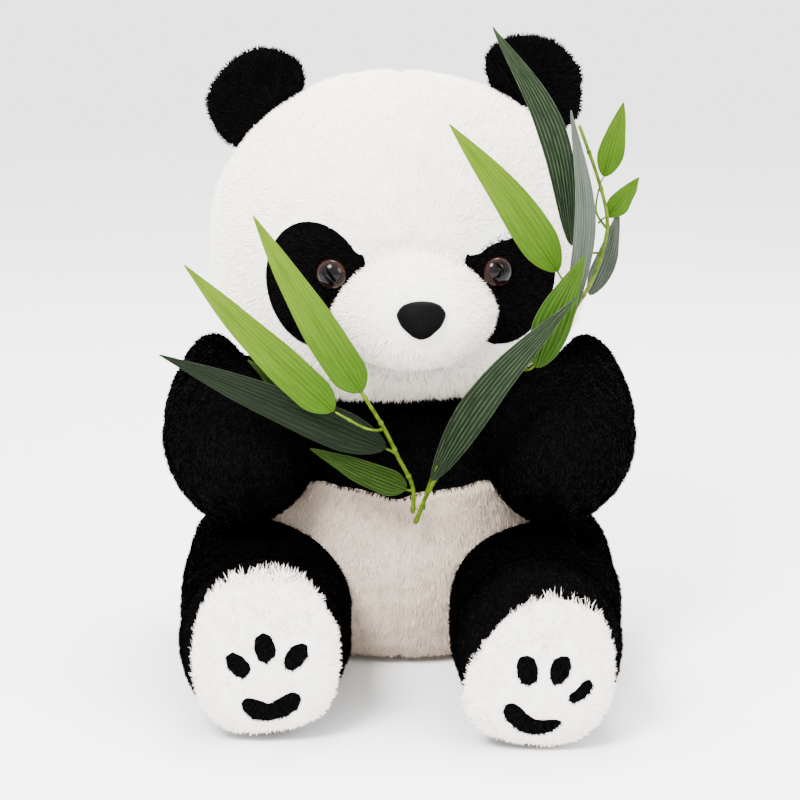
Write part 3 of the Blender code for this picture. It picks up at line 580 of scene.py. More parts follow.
def grow(name, base, looks, per_cm2, length, comb, lean=58.0, where=None, seed=1,
         width=STRAND_WIDTH, tuft=0.36, stray=0.24, curl=0.25, shaded=None):
    """A pile of flat tapering strands rooted on the base, combed along its surface.

    comb, length, where and shaded are functions of the roots' places and normals; length may also
    be a number. where gives the share of strands to keep, and shaded the share of those that have
    the last, darkest look, which paints shade in creases and under overhangs (on the soles, darker
    random blotches). Returns one or more pieces, none with too many strands.
    """
    rng = np.random.default_rng(seed)
    points, normals = scatter(base, per_cm2 * (1.0), rng)
    if where is not None:
        kept = rng.random(len(points)) < where(points, normals)
        points, normals = points[kept], normals[kept]
    count = len(points)
    flow = unit(comb(points, normals))
    flow = flow + tuft * wander(points, 0.011, seed) + stray * rng.normal(size=(count, 3))
    flow -= (flow * normals).sum(1)[:, None] * normals
    flow = unit(flow)
    lift = wander(points, 0.009, seed + 50)[:, 0]
    tilt = np.radians(np.clip(lean + 9 * lift + rng.normal(0, 7, count), 12, 84))[:, None]
    way = normals * np.cos(tilt) + flow * np.sin(tilt)
    side = unit(np.cross(way, normals))
    twist = rng.normal(0, 0.5, count)[:, None]
    side = side * np.cos(twist) + np.cross(side, way) * np.sin(twist)
    long = length(points, normals) if callable(length) else np.full(count, length)
    long = (long * rng.uniform(0.72, 1.15, count))[:, None]
    wide = width * rng.uniform(0.75, 1.2, count)[:, None] / 2
    root = points - normals * 0.0006
    sink = -normals * np.cos(tilt) * 0.6 + flow * 0.5
    half = root + way * long * 0.5 + sink * long * curl * 0.25
    tip = root + way * long + sink * long * curl
    corners = np.stack((
        root - side * wide, root + side * wide,
        half - side * wide * 0.85, half + side * wide * 0.85, tip,
    ), axis=1)
    corners[:, :, 2] = np.maximum(corners[:, :, 2], FLOOR_ROOM)
    shade = rng.choice(len(SHADE_SHARES), size=count, p=SHADE_SHARES)
    if shaded is not None:
        shade[rng.random(count) < shaded(points, normals)] = len(looks) - 1
    pieces = []
    order = np.argsort(points[:, 1], kind="stable")
    for number, start in enumerate(range(0, count, MOST_STRANDS)):
        chosen = order[start:start + MOST_STRANDS]
        first = np.arange(len(chosen))[:, None] * 5
        faces = np.concatenate([first + np.array(f) for f in ((0, 1, 3), (0, 3, 2), (2, 3, 4))], axis=1)
        pieces.append(strands(
            f"{name}_{number + 1}", corners[chosen].reshape(-1, 3),
            faces.reshape(-1, 3), np.repeat(shade[chosen], 3), looks,
        ))
    return pieces


def dress(obj, body, slot, *nodes):
    """The piece rides a body and takes the place of nodes of the frame; slot is not used."""
    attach(obj, body)
    if nodes:
        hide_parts(*nodes)


def wear(pieces, body, slot):
    for obj in pieces:
        dress(obj, body, slot)


# ---------------------------------------------------------------- head

def turned(points):
    return points @ HEAD_TURN.T


def unturned(points):
    return points @ HEAD_TURN


def head_power(height):
    return HEAD_POWER + (CROWN_POWER - HEAD_POWER) * np.clip(height * 2, 0.0, 1.0)


def head_front(x, z, room=PILE_ROOM):
    """The level (Y) of the stuffed head's front at a place in its own front view."""
    wide, deep, high = HEAD_RADII - room
    height = (z - HEAD_MIDDLE[2]) / high
    power = head_power(height)
    inside = 1 - abs(x / wide) ** power - abs(height) ** power
    return HEAD_MIDDLE[1] - deep * np.maximum(inside, 0.02) ** (1 / power)


def muzzle_front(x, z, room=0.0022):
    wide, deep, high = MUZZLE_RADII - room
    narrow = 1 - MUZZLE_TAPER * np.clip((z - MUZZLE_MIDDLE[2]) / high, 0.0, 1.0)
    dx = ((x - MUZZLE_MIDDLE[0]) / (wide * narrow)) ** 2
    dz = ((z - MUZZLE_MIDDLE[2]) / high) ** 2
    return MUZZLE_MIDDLE[1] - deep * np.sqrt(np.maximum(1 - dx - dz, 0.02))


def front_normal(surface, x, z, step=0.0005):
    slope_x = (surface(x + step, z) - surface(x - step, z)) / (2 * step)
    slope_z = (surface(x, z + step) - surface(x, z - step)) / (2 * step)
    return unit(np.stack((slope_x, -np.ones_like(slope_x), slope_z), axis=-1).reshape(-1, 3))


def in_muzzle(points, room=0.0):
    """How far through the muzzle's outline places in the front view are: under 1 is inside."""
    wide, high = MUZZLE_RADII[0] + room, MUZZLE_RADII[2] + room
    narrow = 1 - MUZZLE_TAPER * np.clip((points[:, 2] - MUZZLE_MIDDLE[2]) / high, 0.0, 1.0)
    return np.hypot(
        (points[:, 0] - MUZZLE_MIDDLE[0]) / (wide * narrow), (points[:, 2] - MUZZLE_MIDDLE[2]) / high,
    )


def oval_reach(half_width, half_height, tilt=0.0, notch=0.0):
    """An ellipse's radius by angle, with a notch in its top."""
    def reach(angle):
        turned_angle = angle - tilt
        size = 1 / np.hypot(np.cos(turned_angle) / half_width, np.sin(turned_angle) / half_height)
        off_top = (turned_angle - pi / 2 + pi) % (2 * pi) - pi
        return size * (1 - notch * np.exp(-(off_top / 0.55) ** 2))
    return reach


def patch_reach(sign):
    """The eye patch's outline, held back where it would run under the muzzle's edge."""
    oval = oval_reach(*PATCH_SIZE, -sign * PATCH_TILT)
    corner = pi / 2 + sign * radians(50)

    def reach(angle):
        off = (angle - corner + pi) % (2 * pi) - pi
        return oval(angle) * (1 + 0.17 * np.exp(-(off / 0.60) ** 2))

    wide, high = MUZZLE_RADII[0] - 0.007, MUZZLE_RADII[2] - 0.007
    start = np.array((
        (sign * PATCH_MIDDLE[0] - MUZZLE_MIDDLE[0]) / wide, (PATCH_MIDDLE[1] - MUZZLE_MIDDLE[2]) / high,
    ))

    def held(angle):
        angle = np.asarray(angle, float)
        way = np.stack((np.cos(angle) / wide, np.sin(angle) / high), axis=-1)
        a = (way ** 2).sum(-1)
        b = (way * start).sum(-1)
        root = b * b - a * ((start ** 2).sum() - 1)
        meets = (root > 0) & (b < 0)
        far = np.where(meets, (-b - np.sqrt(np.maximum(root, 0))) / a, 1.0)
        return np.minimum(reach(angle), far)
    return held


def outline_share(points, middle, reach):
    """Distance from a pad's middle as a share of its outline's, in the front view."""
    dx, dz = points[:, 0] - middle[0], points[:, 2] - middle[1]
    return np.hypot(dx, dz) / reach(np.arctan2(dz, dx))


def make_head():
    units = ball_rings(88, 132)
    flat = units.reshape(-1, 3)
    power = head_power(flat[:, 2])
    size = (np.abs(flat) ** power[:, None]).sum(1) ** (-1 / power)
    points = HEAD_MIDDLE + (HEAD_RADII - PILE_ROOM) * flat * size[:, None]

    front = np.clip(-flat[:, 1], 0, 1)
    low = np.clip(-flat[:, 2], 0, 1)
    points[:, 1] -= 0.004 * front * smooth_step(low, 0.45, 0.8)
    for sign in (1, -1):
        gap = np.hypot(points[:, 0] - sign * EYE_PLACE[0], points[:, 2] - EYE_PLACE[1])
        points[:, 1] += 0.0030 * np.exp(-(gap / 0.013) ** 2) * (flat[:, 1] < 0)
    crease = np.exp(-((in_muzzle(points) - 1.03) / 0.09) ** 2) * (flat[:, 1] < 0)
    points[:, 1] += 0.0035 * crease
    seam = np.exp(-(points[:, 0] / 0.0035) ** 2) * smooth_step(points[:, 1], -0.05, 0.0)
    points -= flat * (0.0016 * seam)[:, None]
    points += flat * (0.0011 * wander(points, 0.11, 3)[:, :1])
    floor = HEAD_UNDERSIDE + 0.001
    under = points[:, 2] < floor + 0.006
    points[under, 2] = floor + 0.006 * np.exp((points[under, 2] - floor - 0.006) / 0.006)
    rings = turned(points).reshape(units.shape)
    ends = turned(np.array((
        (0, HEAD_MIDDLE[1], rings[0, :, 2].mean()), (0, HEAD_MIDDLE[1], rings[-1, :, 2].max() + 0.0001),
    )))
    head = rings_piece("head", rings, ends[0], ends[1], [WHITE_BACKING])
    dress(head, "head", "white_pile", "head_skin", "head_filling", "eye_washer_left", "eye_washer_right")

    def comb(points, normals):
        own = unturned(points)
        away = unit(own - np.array((0.0, -0.16, 0.255)))
        away[:, 2] -= 0.25
        back = smooth_step(own[:, 1], -0.02, 0.08)[:, None]
        flow = away * (1 - back) + back * np.array((0.0, 0.15, -1.0))
        return flow @ HEAD_TURN.T

    def where(points, normals):
        own = unturned(points)
        kept = np.ones(len(points))
        facing = own[:, 1] < -0.03
        kept[facing & (in_muzzle(own, -0.006) < 1)] = 0.0
        for sign in (1, -1):
            middle = (sign * PATCH_MIDDLE[0], PATCH_MIDDLE[1])
            share = outline_share(own, middle, patch_reach(sign))
            kept[facing & (share < 1.0)] = 0.0
        kept[(own[:, 2] < HEAD_UNDERSIDE + 0.003) & (np.hypot(own[:, 0], own[:, 1]) < 0.05)] = 0.0
        return kept

    def length(points, normals):
        own = unturned(points)
        chin = smooth_step(-own[:, 2], -0.205, -0.182) * smooth_step(-own[:, 1], 0.02, 0.07)
        brow = in_muzzle(own, 0.0)
        near = np.where(own[:, 1] < -0.03, np.exp(-((brow - 1.1) / 0.25) ** 2), 0.0)
        beside = np.zeros(len(points))
        for sign in (1, -1):
            share = outline_share(own, (sign * PATCH_MIDDLE[0], PATCH_MIDDLE[1]), patch_reach(sign))
            beside = np.maximum(beside, np.exp(-((share - 1.0) / 0.14) ** 2) * (own[:, 1] < -0.03))
        return WHITE_LENGTH * (1 + 0.40 * chin - 0.40 * near) * (1 - 0.40 * beside)

    # Painted shade: the darkest strands gather in the crease under the muzzle
    def shaded(points, normals):
        own = unturned(points)
        brow = in_muzzle(own, 0.0)
        under = smooth_step(MUZZLE_MIDDLE[2] - own[:, 2], 0.010, 0.035) * (own[:, 1] < -0.03)
        return 0.85 * under * np.exp(-(np.maximum(brow - 1.0, 0.0) / 0.13) ** 2)

    wear(grow("head_pile", head, WHITE_STRANDS, WHITE_PER_CM2, length, comb, where=where, seed=11,
              shaded=shaded), "head", "white_pile")
    return head


def make_muzzle():
    units = ball_rings(56, 96)
    upright = np.stack((units[..., 0], units[..., 2], units[..., 1]), axis=-1).reshape(-1, 3)
    points = MUZZLE_MIDDLE + (MUZZLE_RADII - 0.0026) * upright
    points[:, 0] *= 1 - MUZZLE_TAPER * np.maximum(upright[:, 2], 0.0)
    points[:, 1] = np.where(points[:, 1] > -0.085, -0.085 + (points[:, 1] + 0.085) * 0.2, points[:, 1])
    points += upright * 0.0006 * wander(points, 0.07, 5)[:, :1]
    rings = turned(points).reshape(units.shape)
    ends = turned(np.array((
        (0, MUZZLE_MIDDLE[1] - MUZZLE_RADII[1] + 0.0026, MUZZLE_MIDDLE[2]),
        (0, points[:, 1].max() + 0.0002, MUZZLE_MIDDLE[2]),
    )))
    muzzle = rings_piece("muzzle", rings, ends[0], ends[1], [WHITE_BACKING])
    dress(muzzle, "head", "white_pile", "muzzle_skin", "muzzle_filling")

    def comb(points, normals):
        own = unturned(points)
        away = own - np.array((0.0, -0.15, 0.246))
        away[:, 2] -= 0.012
        return away @ HEAD_TURN.T

    def where(points, normals):
        own = unturned(points)
        buried = own[:, 1] > head_front(own[:, 0], own[:, 2]) + 0.004
        nose = outline_share(own, NOSE_MIDDLE, nose_reach) < 0.86
        return np.where(buried | nose, 0.0, 1.0)

    def length(points, normals):
        own = unturned(points)
        edge = smooth_step(in_muzzle(own), 0.75, 1.0)
        near_nose = np.clip(outline_share(own, NOSE_MIDDLE, nose_reach) - 1.0, 0, 1.2) / 1.2
        return WHITE_LENGTH * (0.38 + 0.42 * near_nose + 0.15 * edge)

    wear(grow("muzzle_pile", muzzle, WHITE_STRANDS, WHITE_PER_CM2 * 1.25, length, comb, lean=62,
              where=where, seed=21, tuft=0.3), "head", "white_pile")


def outline_reach(corners, blur=8.0):
    """A closed outline's radius by angle, from places around it, its corners softened."""
    corners = np.array(corners)
    share = np.linspace(0, 1, 24, endpoint=False)[:, None]
    runs = [a + (b - a) * share for a, b in zip(corners, np.roll(corners, -1, axis=0))]
    places = np.concatenate(runs)
    angles = np.arctan2(places[:, 1], places[:, 0])
    order = np.argsort(angles)
    known = np.concatenate((angles[order] - 2 * pi, angles[order], angles[order] + 2 * pi))
    sizes = np.tile(np.hypot(places[order, 0], places[order, 1]), 3)
    fine = np.linspace(-pi, pi, 721)
    raw = np.interp(fine, known, sizes)[:-1]
    soft = np.exp(-(np.arange(-30, 31) / blur) ** 2)
    wrapped = np.concatenate((raw[-30:], raw, raw[:30]))
    smooth = np.convolve(wrapped, soft / soft.sum(), mode="valid")
    smooth = np.append(smooth, smooth[0])

    def reach(angle):
        return np.interp((np.asarray(angle) + pi) % (2 * pi) - pi, fine, smooth)
    return reach


def outline_size(reach):
    """An outline's width, height and area."""
    angle = np.linspace(-pi, pi, 720, endpoint=False)
    size = reach(angle)
    across, up = size * np.cos(angle), size * np.sin(angle)
    return float(np.ptp(across)), float(np.ptp(up)), float((size ** 2).mean() * pi)


nose_reach = outline_reach(NOSE_OUTLINE, 16.0)


def domed_pad(name, middle, reach, surface, height, sink, looks, rows=14, around=56, roundness=0.5):
    """A closed pad on a surface given in the front view; its edge and back are sunk into it."""
    out = np.sin(np.linspace(0, pi / 2, rows + 1)[1:])[:, None]
    angle = np.linspace(0, 2 * pi, around, endpoint=False)[None, :]
    x = (middle[0] + out * reach(angle) * np.cos(angle)).ravel()
    z = (middle[1] + out * reach(angle) * np.sin(angle)).ravel()
    raised = (1 - np.minimum(out, 1.0) ** 2) ** roundness * np.ones_like(angle)
    base = np.stack((x, surface(x, z), z), axis=1)
    normals = front_normal(surface, x, z)
    top = base + normals * (height * raised.ravel() - sink)[:, None]
    back = base - normals * (sink + 0.0008)
    shape = (rows, around, 3)
    rings = np.concatenate((top.reshape(shape), back.reshape(shape)[::-1]))
    mid = np.array((middle[0], float(surface(np.array(middle[0]), np.array(middle[1]))), middle[1]))
    up = front_normal(surface, np.array([middle[0]]), np.array([middle[1]]))[0]
    return rings_piece(name, rings, mid + up * (height - sink), mid - up * (sink + 0.0008), looks)


def make_nose():
    nose = domed_pad("nose_dome", NOSE_MIDDLE, nose_reach, muzzle_front, NOSE_HEIGHT, NOSE_SINK,
                     [nose_look()], rows=22, around=72, roundness=0.42)
    reshape(nose, turned)
    dress(nose, "head", "black_felt", "nose")


def make_eye(side, sign, look):
    """A patch of short black pile with a glossy domed eye set into it."""
    middle = (sign * PATCH_MIDDLE[0], PATCH_MIDDLE[1])
    reach = patch_reach(sign)
    patch = domed_pad(f"patch_{side}", middle, reach, head_front, PATCH_HEIGHT, PATCH_SINK,
                      [BLACK_BACKING], rows=20, around=84, roundness=0.3)
    reshape(patch, turned)
    dress(patch, "head", "black_pile", f"eye_patch_{side}")

    def comb(points, normals):
        own = unturned(points)
        away = own - np.array((sign * 0.02, -0.13, 0.262))
        away[:, 2] -= 0.01
        return away @ HEAD_TURN.T

    def where(points, normals):
        own = unturned(points)
        gap = np.hypot(own[:, 0] - sign * EYE_PLACE[0], own[:, 2] - EYE_PLACE[1])
        outside = (normals @ HEAD_TURN)[:, 1] < 0.05
        return np.where(outside & (gap > EYE_RADIUS * 0.9), 1.0, 0.0)

    def length(points, normals):
        share = outline_share(unturned(points), middle, reach)
        return PATCH_PILE * (1 - 0.5 * smooth_step(share, 0.75, 0.98))

    wear(grow(f"patch_pile_{side}", patch, BLACK_STRANDS, BLACK_PER_CM2 * 1.6, length, comb,
              lean=60, where=where, seed=31 + sign), "head", "black_pile")

    x, z = sign * EYE_PLACE[0], EYE_PLACE[1]
    outward = front_normal(head_front, np.array([x]), np.array([z]))[0]
    seat = np.array((x, float(head_front(np.array(x), np.array(z))), z)) + outward * EYE_SEAT
    rows, around = 26, 56
    level = np.linspace(0, pi / 2, rows + 1)[1:]
    profile = [(EYE_RADIUS * sin(a), EYE_HEIGHT * cos(a), sin(a)) for a in level]
    profile += [(EYE_RADIUS * share, low, 1.0) for share, low in EYE_RIM]
    right = unit(np.cross(outward, (0.0, 0.0, 1.0))[None])[0]
    above = np.cross(right, outward)
    angle = np.linspace(0, 2 * pi, around, endpoint=False)
    circle = np.cos(angle)[:, None] * right + np.sin(angle)[:, None] * above
    rings = np.array([seat + circle * r + outward * h for r, h, _ in profile])
    eye = rings_piece(
        f"eye_dome_{side}", rings, seat + outward * EYE_HEIGHT, seat - outward * EYE_BACK, [look],
    )
    uv = eye.data.uv_layers.new(name="rings")
    shares = [*np.repeat([share for _, _, share in profile], around), 0.0, 1.0]
    for loop in eye.data.loops:
        uv.data[loop.index].uv = (shares[loop.vertex_index] * 0.999, 0.5)
    reshape(eye, turned)
    dress(eye, "head", "eye_plastic", f"eye_{side}")


def make_ear(side, sign):
    """Two layers of black pile sewn round the rim, hollowed a little at the front."""
    angle = EAR_ANGLE[side]
    out = np.array((cos(angle), 0.0, sin(angle)))
    power = head_power(out[2])
    head_reach = np.linalg.norm(HEAD_RADII * out * (np.abs(out) ** power).sum() ** (-1 / power))
    foot = np.array((0, EAR_SETBACK, HEAD_MIDDLE[2])) + out * (head_reach - EAR_DEPTH[side])
    across = np.array((out[2], 0.0, -out[0]))
    units = ball_rings(40, 72)
    flat = units.reshape(-1, 3)
    wide, deep, upper, lower = EAR_SIZE
    x = flat[:, 0] * wide
    z = flat[:, 2] * np.where(flat[:, 2] > 0, upper, lower + 0.004) + lower
    hollow = 1 - np.clip(flat[:, 0] ** 2 + flat[:, 2] ** 2, 0, 1)
    y = flat[:, 1] * deep * 0.85 + 0.006 * hollow * (flat[:, 1] < 0) * smooth_step(flat[:, 2], -0.8, 0.0)
    y -= 0.004 * flat[:, 0] ** 2
    points = foot + across * x[:, None] + np.array((0, 1.0, 0)) * y[:, None] + out * z[:, None]
    points += 0.0009 * wander(points, 0.03, 9 + sign)
    rings = points.reshape(units.shape)
    ear = rings_piece(f"ear_shape_{side}", rings, rings[0].mean(0), rings[-1].mean(0), [BLACK_BACKING])
    dress(ear, f"ear_{side}", "black_pile", f"ear_{side}")

    def comb(points, normals):
        return (points - foot) * np.array((1.0, 0.3, 1.0))

    def where(points, normals):
        return np.where((points - HEAD_MIDDLE) @ out < head_reach - 0.012, 0.0, 1.0)

    wear(grow(f"ear_pile_{side}", ear, BLACK_STRANDS, BLACK_PER_CM2 * 1.2, BLACK_LENGTH, comb,
              lean=55, where=where, seed=41 + sign), f"ear_{side}", "black_pile")


# ---------------------------------------------------------------- torso

def seam_level(points):
    """The level of the seam between the black yoke and the white belly, dipping at the middle."""
    front = smooth_step(-points[:, 1], 0.02, 0.08)
    dip = 0.007 * np.exp(-(points[:, 0] / 0.028) ** 2) * front
    return YOKE_SEAM - dip + 0.0012 * wander(points, 0.018, 71)[:, 0]


def make_torso():
    rows, around = 84, 128
    level = np.interp(np.linspace(0, 1, rows), np.linspace(0, 1, len(TORSO)), TORSO[:, 0])
    spread = [np.interp(level, TORSO[:, 0], TORSO[:, i]) for i in (1, 2, 3)]
    soft = np.ones(5) / 5
    for i, values in enumerate(spread):
        middle = np.convolve(np.pad(values, 2, mode="edge"), soft, mode="valid")
        middle[:2], middle[-2:] = values[:2], values[-2:]
        spread[i] = middle
    angle = np.linspace(0, 2 * pi, around, endpoint=False)
    wide, front, back = (values[:, None] for values in spread)
    deep = np.where(np.sin(angle)[None, :] < 0, front, back)
    rings = np.stack((
        wide * np.cos(angle), BODY_Y + deep * np.sin(angle), level[:, None] * np.ones(around),
    ), axis=-1)
    points = rings.reshape(-1, 3)
    outward = unit(points - np.array((0, BODY_Y, 0.085)))
    outward[:, 2] *= 0.3
    seam_row = int(np.argmin(np.abs(level - YOKE_SEAM)))
    rise = (seam_level(points).reshape(rows, around)[seam_row] - level[seam_row])[None, :]
    near_seam = np.exp(-((np.arange(rows) - seam_row) / 10.0) ** 2)[:, None]
    points[:, 2] += (rise * near_seam).ravel()
    groove = np.exp(-((points[:, 2] - seam_level(points)) / 0.0022) ** 2)
    middle_seam = np.exp(-(points[:, 0] / 0.0026) ** 2) * (points[:, 1] < 0)
    points = points - outward * (0.0015 * groove + 0.0016 * middle_seam)[:, None]
    points = points + outward * 0.0012 * wander(points, 0.09, 17)[:, :1]
    points[:, 2] = np.maximum(points[:, 2], 0.0035)
    rings = points.reshape(rings.shape)

    def middle_of(ring):
        return np.array((0, BODY_Y, ring[:, 2].mean()))

    collar_row = int(np.argmin(np.abs(level - COLLAR_BELOW)))
    split = float(rings[collar_row, :, 2].mean())
    rings[collar_row, :, 2] = split
    torso = rings_piece(
        "torso_shape", rings[:collar_row + 1], middle_of(rings[0]), middle_of(rings[collar_row]),
        [WHITE_BACKING, BLACK_BACKING, SHADED_BELLY_BACKING],
    )
    middles = np.empty(len(torso.data.polygons) * 3)
    torso.data.polygons.foreach_get("center", middles)
    # Faces on the front take the belly's backing, painted in shade
    backing = np.where(middles.reshape(-1, 3)[:, 1] < -0.025, 2, 0).astype(np.int32)
    backing[seam_row * around:collar_row * around] = 1
    backing[collar_row * around + 1::2] = 1
    torso.data.polygons.foreach_set("material_index", backing)
    dress(torso, "torso", "white_pile", "belly_skin", "yoke_skin", "seat_panel", "body_filling")

    rings[collar_row, :, 2] += COLLAR_GAP
    collar = rings_piece(
        "collar_shape", rings[collar_row:], middle_of(rings[collar_row]),
        np.array((0, BODY_Y, TORSO[-1, 0] + 0.0003)), [BLACK_BACKING],
    )
    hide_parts("neck_filling")

    def comb(points, normals):
        return np.array((0.0, 0.0, -1.0)) + 0.35 * normals

    def black_comb(points, normals):
        rise = smooth_step(points[:, 2], 0.145, 0.165)[:, None]
        return np.array((0.0, 0.0, -1.0)) * (1 - rise) + unit(points - np.array((0, BODY_Y, 0.13))) * rise

    def white_where(points, normals):
        return np.where(points[:, 2] < seam_level(points), 1.0, 0.0) * (points[:, 2] > 0.0045)

    def black_where(points, normals):
        return np.where((points[:, 2] >= seam_level(points)) & (points[:, 2] < split), 1.0, 0.0)

    def collar_where(points, normals):
        inner = (points[:, 2] > 0.168) & (np.hypot(points[:, 0], points[:, 1]) < 0.04)
        return np.where((points[:, 2] >= split) & ~inner, 1.0, 0.0)

    def black_length(points, normals):
        return BLACK_LENGTH * (1 + 0.9 * smooth_step(points[:, 2], 0.150, 0.166))

    def belly_length(points, normals):
        right = smooth_step(points[:, 0], -0.002, 0.010) * (points[:, 1] < 0)
        return WHITE_LENGTH * (0.72 + 0.25 * right + 0.2 * (points[:, 1] > 0))

    # Painted shade on the belly: darker towards the bottom, just under the yoke seam and along the middle
    # seam, and a little darker over the toy's right half
    def belly_shaded(points, normals):
        low = smooth_step(-points[:, 2], -0.075, -0.010)
        high = smooth_step(points[:, 2], 0.100, 0.120)
        seam = np.exp(-(points[:, 0] / 0.0018) ** 2)
        toy_right_half = smooth_step(-points[:, 0], -0.004, 0.004)
        return np.clip(0.65 * low + 0.12 * high + 0.4 * seam + 0.10 * toy_right_half, 0.0, 0.9)

    # How far to the front a place is: the pile there takes the belly's strands, painted in shade
    def in_shade(points):
        return smooth_step(-points[:, 1], 0.0, 0.05)

    def front_where(points, normals):
        return white_where(points, normals) * in_shade(points)

    def rest_where(points, normals):
        return white_where(points, normals) * (1 - in_shade(points))

    wear(grow("belly_pile", torso, SHADED_BELLY_STRANDS, WHITE_PER_CM2 * 1.15, belly_length, comb,
              where=front_where, seed=61, lean=66, tuft=0.25, shaded=belly_shaded),
         "torso", "white_pile")
    wear(grow("back_pile", torso, WHITE_STRANDS, WHITE_PER_CM2, belly_length, comb,
              where=rest_where, seed=64, lean=60), "torso", "white_pile")
    wear(grow("yoke_pile", torso, BLACK_STRANDS, BLACK_PER_CM2 * 1.1, black_length, black_comb,
              where=black_where, seed=62, lean=52), "torso", "black_pile")
    collar_pile = grow("collar_pile", collar, BLACK_STRANDS, BLACK_PER_CM2 * 1.1, black_length,
                       black_comb, where=collar_where, seed=63, lean=52)
    for obj in (collar, *collar_pile):
        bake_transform(obj)


# ---------------------------------------------------------------- limbs

def head_ceiling(x, y):
    """The lowest level that the turning head leaves free above a place."""
    room = HEAD_RADII[0] + 0.0028
    out = (np.hypot(x, y - HEAD_MIDDLE[1]) / room) ** HEAD_POWER
    level = HEAD_MIDDLE[2] - (HEAD_RADII[2] + 0.0015) * np.maximum(1 - out, 0) ** (1 / HEAD_POWER)
    return np.where(out >= 1, 1.0, np.maximum(level, HEAD_UNDERSIDE - 0.003))


def limb_rings(stations):
    """Rings across a limb that runs along Y, for (middle, half width, half height)."""
    angle = np.linspace(0, 2 * pi, LIMB_AROUND, endpoint=False)
    level = np.zeros(LIMB_AROUND)
    rings = []
    for middle, half_width, half_height in stations:
        ring = np.stack((half_width * np.cos(angle), level, half_height * np.sin(angle)), axis=1)
        rings.append(np.asarray(middle) + ring)
    return np.array(rings)


def rounded_start(width, height):
    """The first stations of a limb, which round it off behind its joint."""
    return [
        ((0, width * sin(angle), 0), width * cos(angle), height * cos(angle))
        for angle in np.radians(np.linspace(84, 6, 13))
    ]


def squarer(points, sign, stations, power, share):
    """The outer half of a limb's sections, filled out towards a rounded square."""
    sizes = np.array([(wide, high) for _, wide, high in stations]).repeat(LIMB_AROUND, axis=0)
    half_widths, half_heights = sizes.T
    across = np.clip(points[:, 0] / half_widths, -1, 1)
    up = np.clip(points[:, 2] / half_heights, -1, 1)
    fuller = 2 / power
    outer = (across * sign > 0) * share
    new_across = np.sign(across) * np.abs(across) ** fuller * half_widths
    new_up = np.sign(up) * np.abs(up) ** fuller * half_heights
    points[:, 0] += (new_across - points[:, 0]) * outer
    points[:, 2] += (new_up - points[:, 2]) * outer


def softened(drop, passes=10):
    """A field over rings and around them, never less than it was but without sharp edges."""
    soft = drop.copy()
    for _ in range(passes):
        rows = np.pad(soft, ((1, 1), (0, 0)), mode="edge")
        soft = (rows[:-2] + 2 * rows[1:-1] + rows[2:]) / 4
        soft = (np.roll(soft, 1, axis=1) + 2 * soft + np.roll(soft, -1, axis=1)) / 4
    return np.maximum(drop, soft)


def make_arm(side, sign):
    pivot = SHOULDER * np.array((sign, 1, 1))
    reach = ARM_REACH * np.array((sign, 1, 1))
    width, height = (size - PILE_ROOM for size in ARM_SHOULDER_SIZE)
    paw_width, paw_height = (size - PILE_ROOM for size in ARM_PAW_SIZE)
    stations = rounded_start(width, height)
    for part in 1 - (1 - np.linspace(0, 1, 44)[:-1]) ** 1.25:
        swell = sin(min(part / 0.6, 1.0) * pi / 2)
        blunt = (1 - max(part - 0.42, 0.0) ** 2.4 / 0.58 ** 2.4) ** 0.5
        half_width = (width + (paw_width - width) * swell) * blunt
        half_height = (height + (paw_height - height) * swell) * blunt
        stations.append((reach * part, half_width, half_height))
    rings = limb_rings(stations)
    points = rings.reshape(-1, 3)
    down = smooth_step(-points[:, 1], 0.03, 0.10) * np.clip(-points[:, 2] / 0.05, 0, 1)
    points[:, 2] -= 0.0055 * down
    fuller = (1 - smooth_step(-points[:, 1], 0.02, 0.12)) * (points[:, 2] > 0)
    squarer(points, sign, stations, ARM_POWER, fuller)
    before = points[:, 2].copy()
    for opened_by in (0, 10, 20, 30):
        turn = np.array(Matrix.Rotation(sign * radians(opened_by), 3, "Z"))
        at = pivot + points @ turn.T
        top = head_ceiling(at[:, 0], at[:, 1]) - pivot[2] - PILE_ROOM
        over = points[:, 2] > top - 0.006
        points[over, 2] = np.minimum(points[over, 2], top[over] - 0.006 * np.exp(
            -(points[over, 2] - top[over] + 0.006) / 0.006))
    drop = softened((before - points[:, 2]).reshape(rings.shape[:2]))
    points[:, 2] = before - drop.ravel()
    off_seam = points[:, 2] + 0.30 * (points[:, 1] + 0.08)
    seam = np.exp(-(off_seam / 0.0022) ** 2) * (points[:, 0] * sign > 0)
    outward = unit(points * np.array((1, 0.25, 1)))
    points -= outward * (0.0014 * seam)[:, None]
    points += outward * 0.0013 * wander(points, 0.06, 81 + sign)[:, :1]
    rings = points.reshape(rings.shape) + pivot
    arm = rings_piece(
        f"arm_{side}_shape", rings, rings[0].mean(0) + (0, 0.0003, 0), pivot + reach, [BLACK_BACKING],
    )
    body = f"arm_{side}"
    dress(arm, body, "black_pile", f"arm_skin_{side}", f"arm_filling_{side}")

    def comb(points, normals):
        return np.array((0.0, -1.0, -0.45)) + 0.5 * normals

    pile = grow(f"arm_pile_{side}", arm, BLACK_STRANDS, BLACK_PER_CM2, BLACK_LENGTH, comb,
                seed=91 + sign, lean=60)
    wear(pile, body, "black_pile")
    for obj in (arm, *pile):
        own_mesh(obj)


def foot_end(side):
    def level(x, z):
        wide, high = LEG_FOOT_SIZE
        lift = high - LEG_THIGH_SIZE[1]
        out = (x / wide) ** 2 + ((z - lift) / high) ** 2
        return -LEG_LENGTH[side] + 0.003 + 0.010 * np.maximum(out - 0.25, 0.0) ** 2
    return level


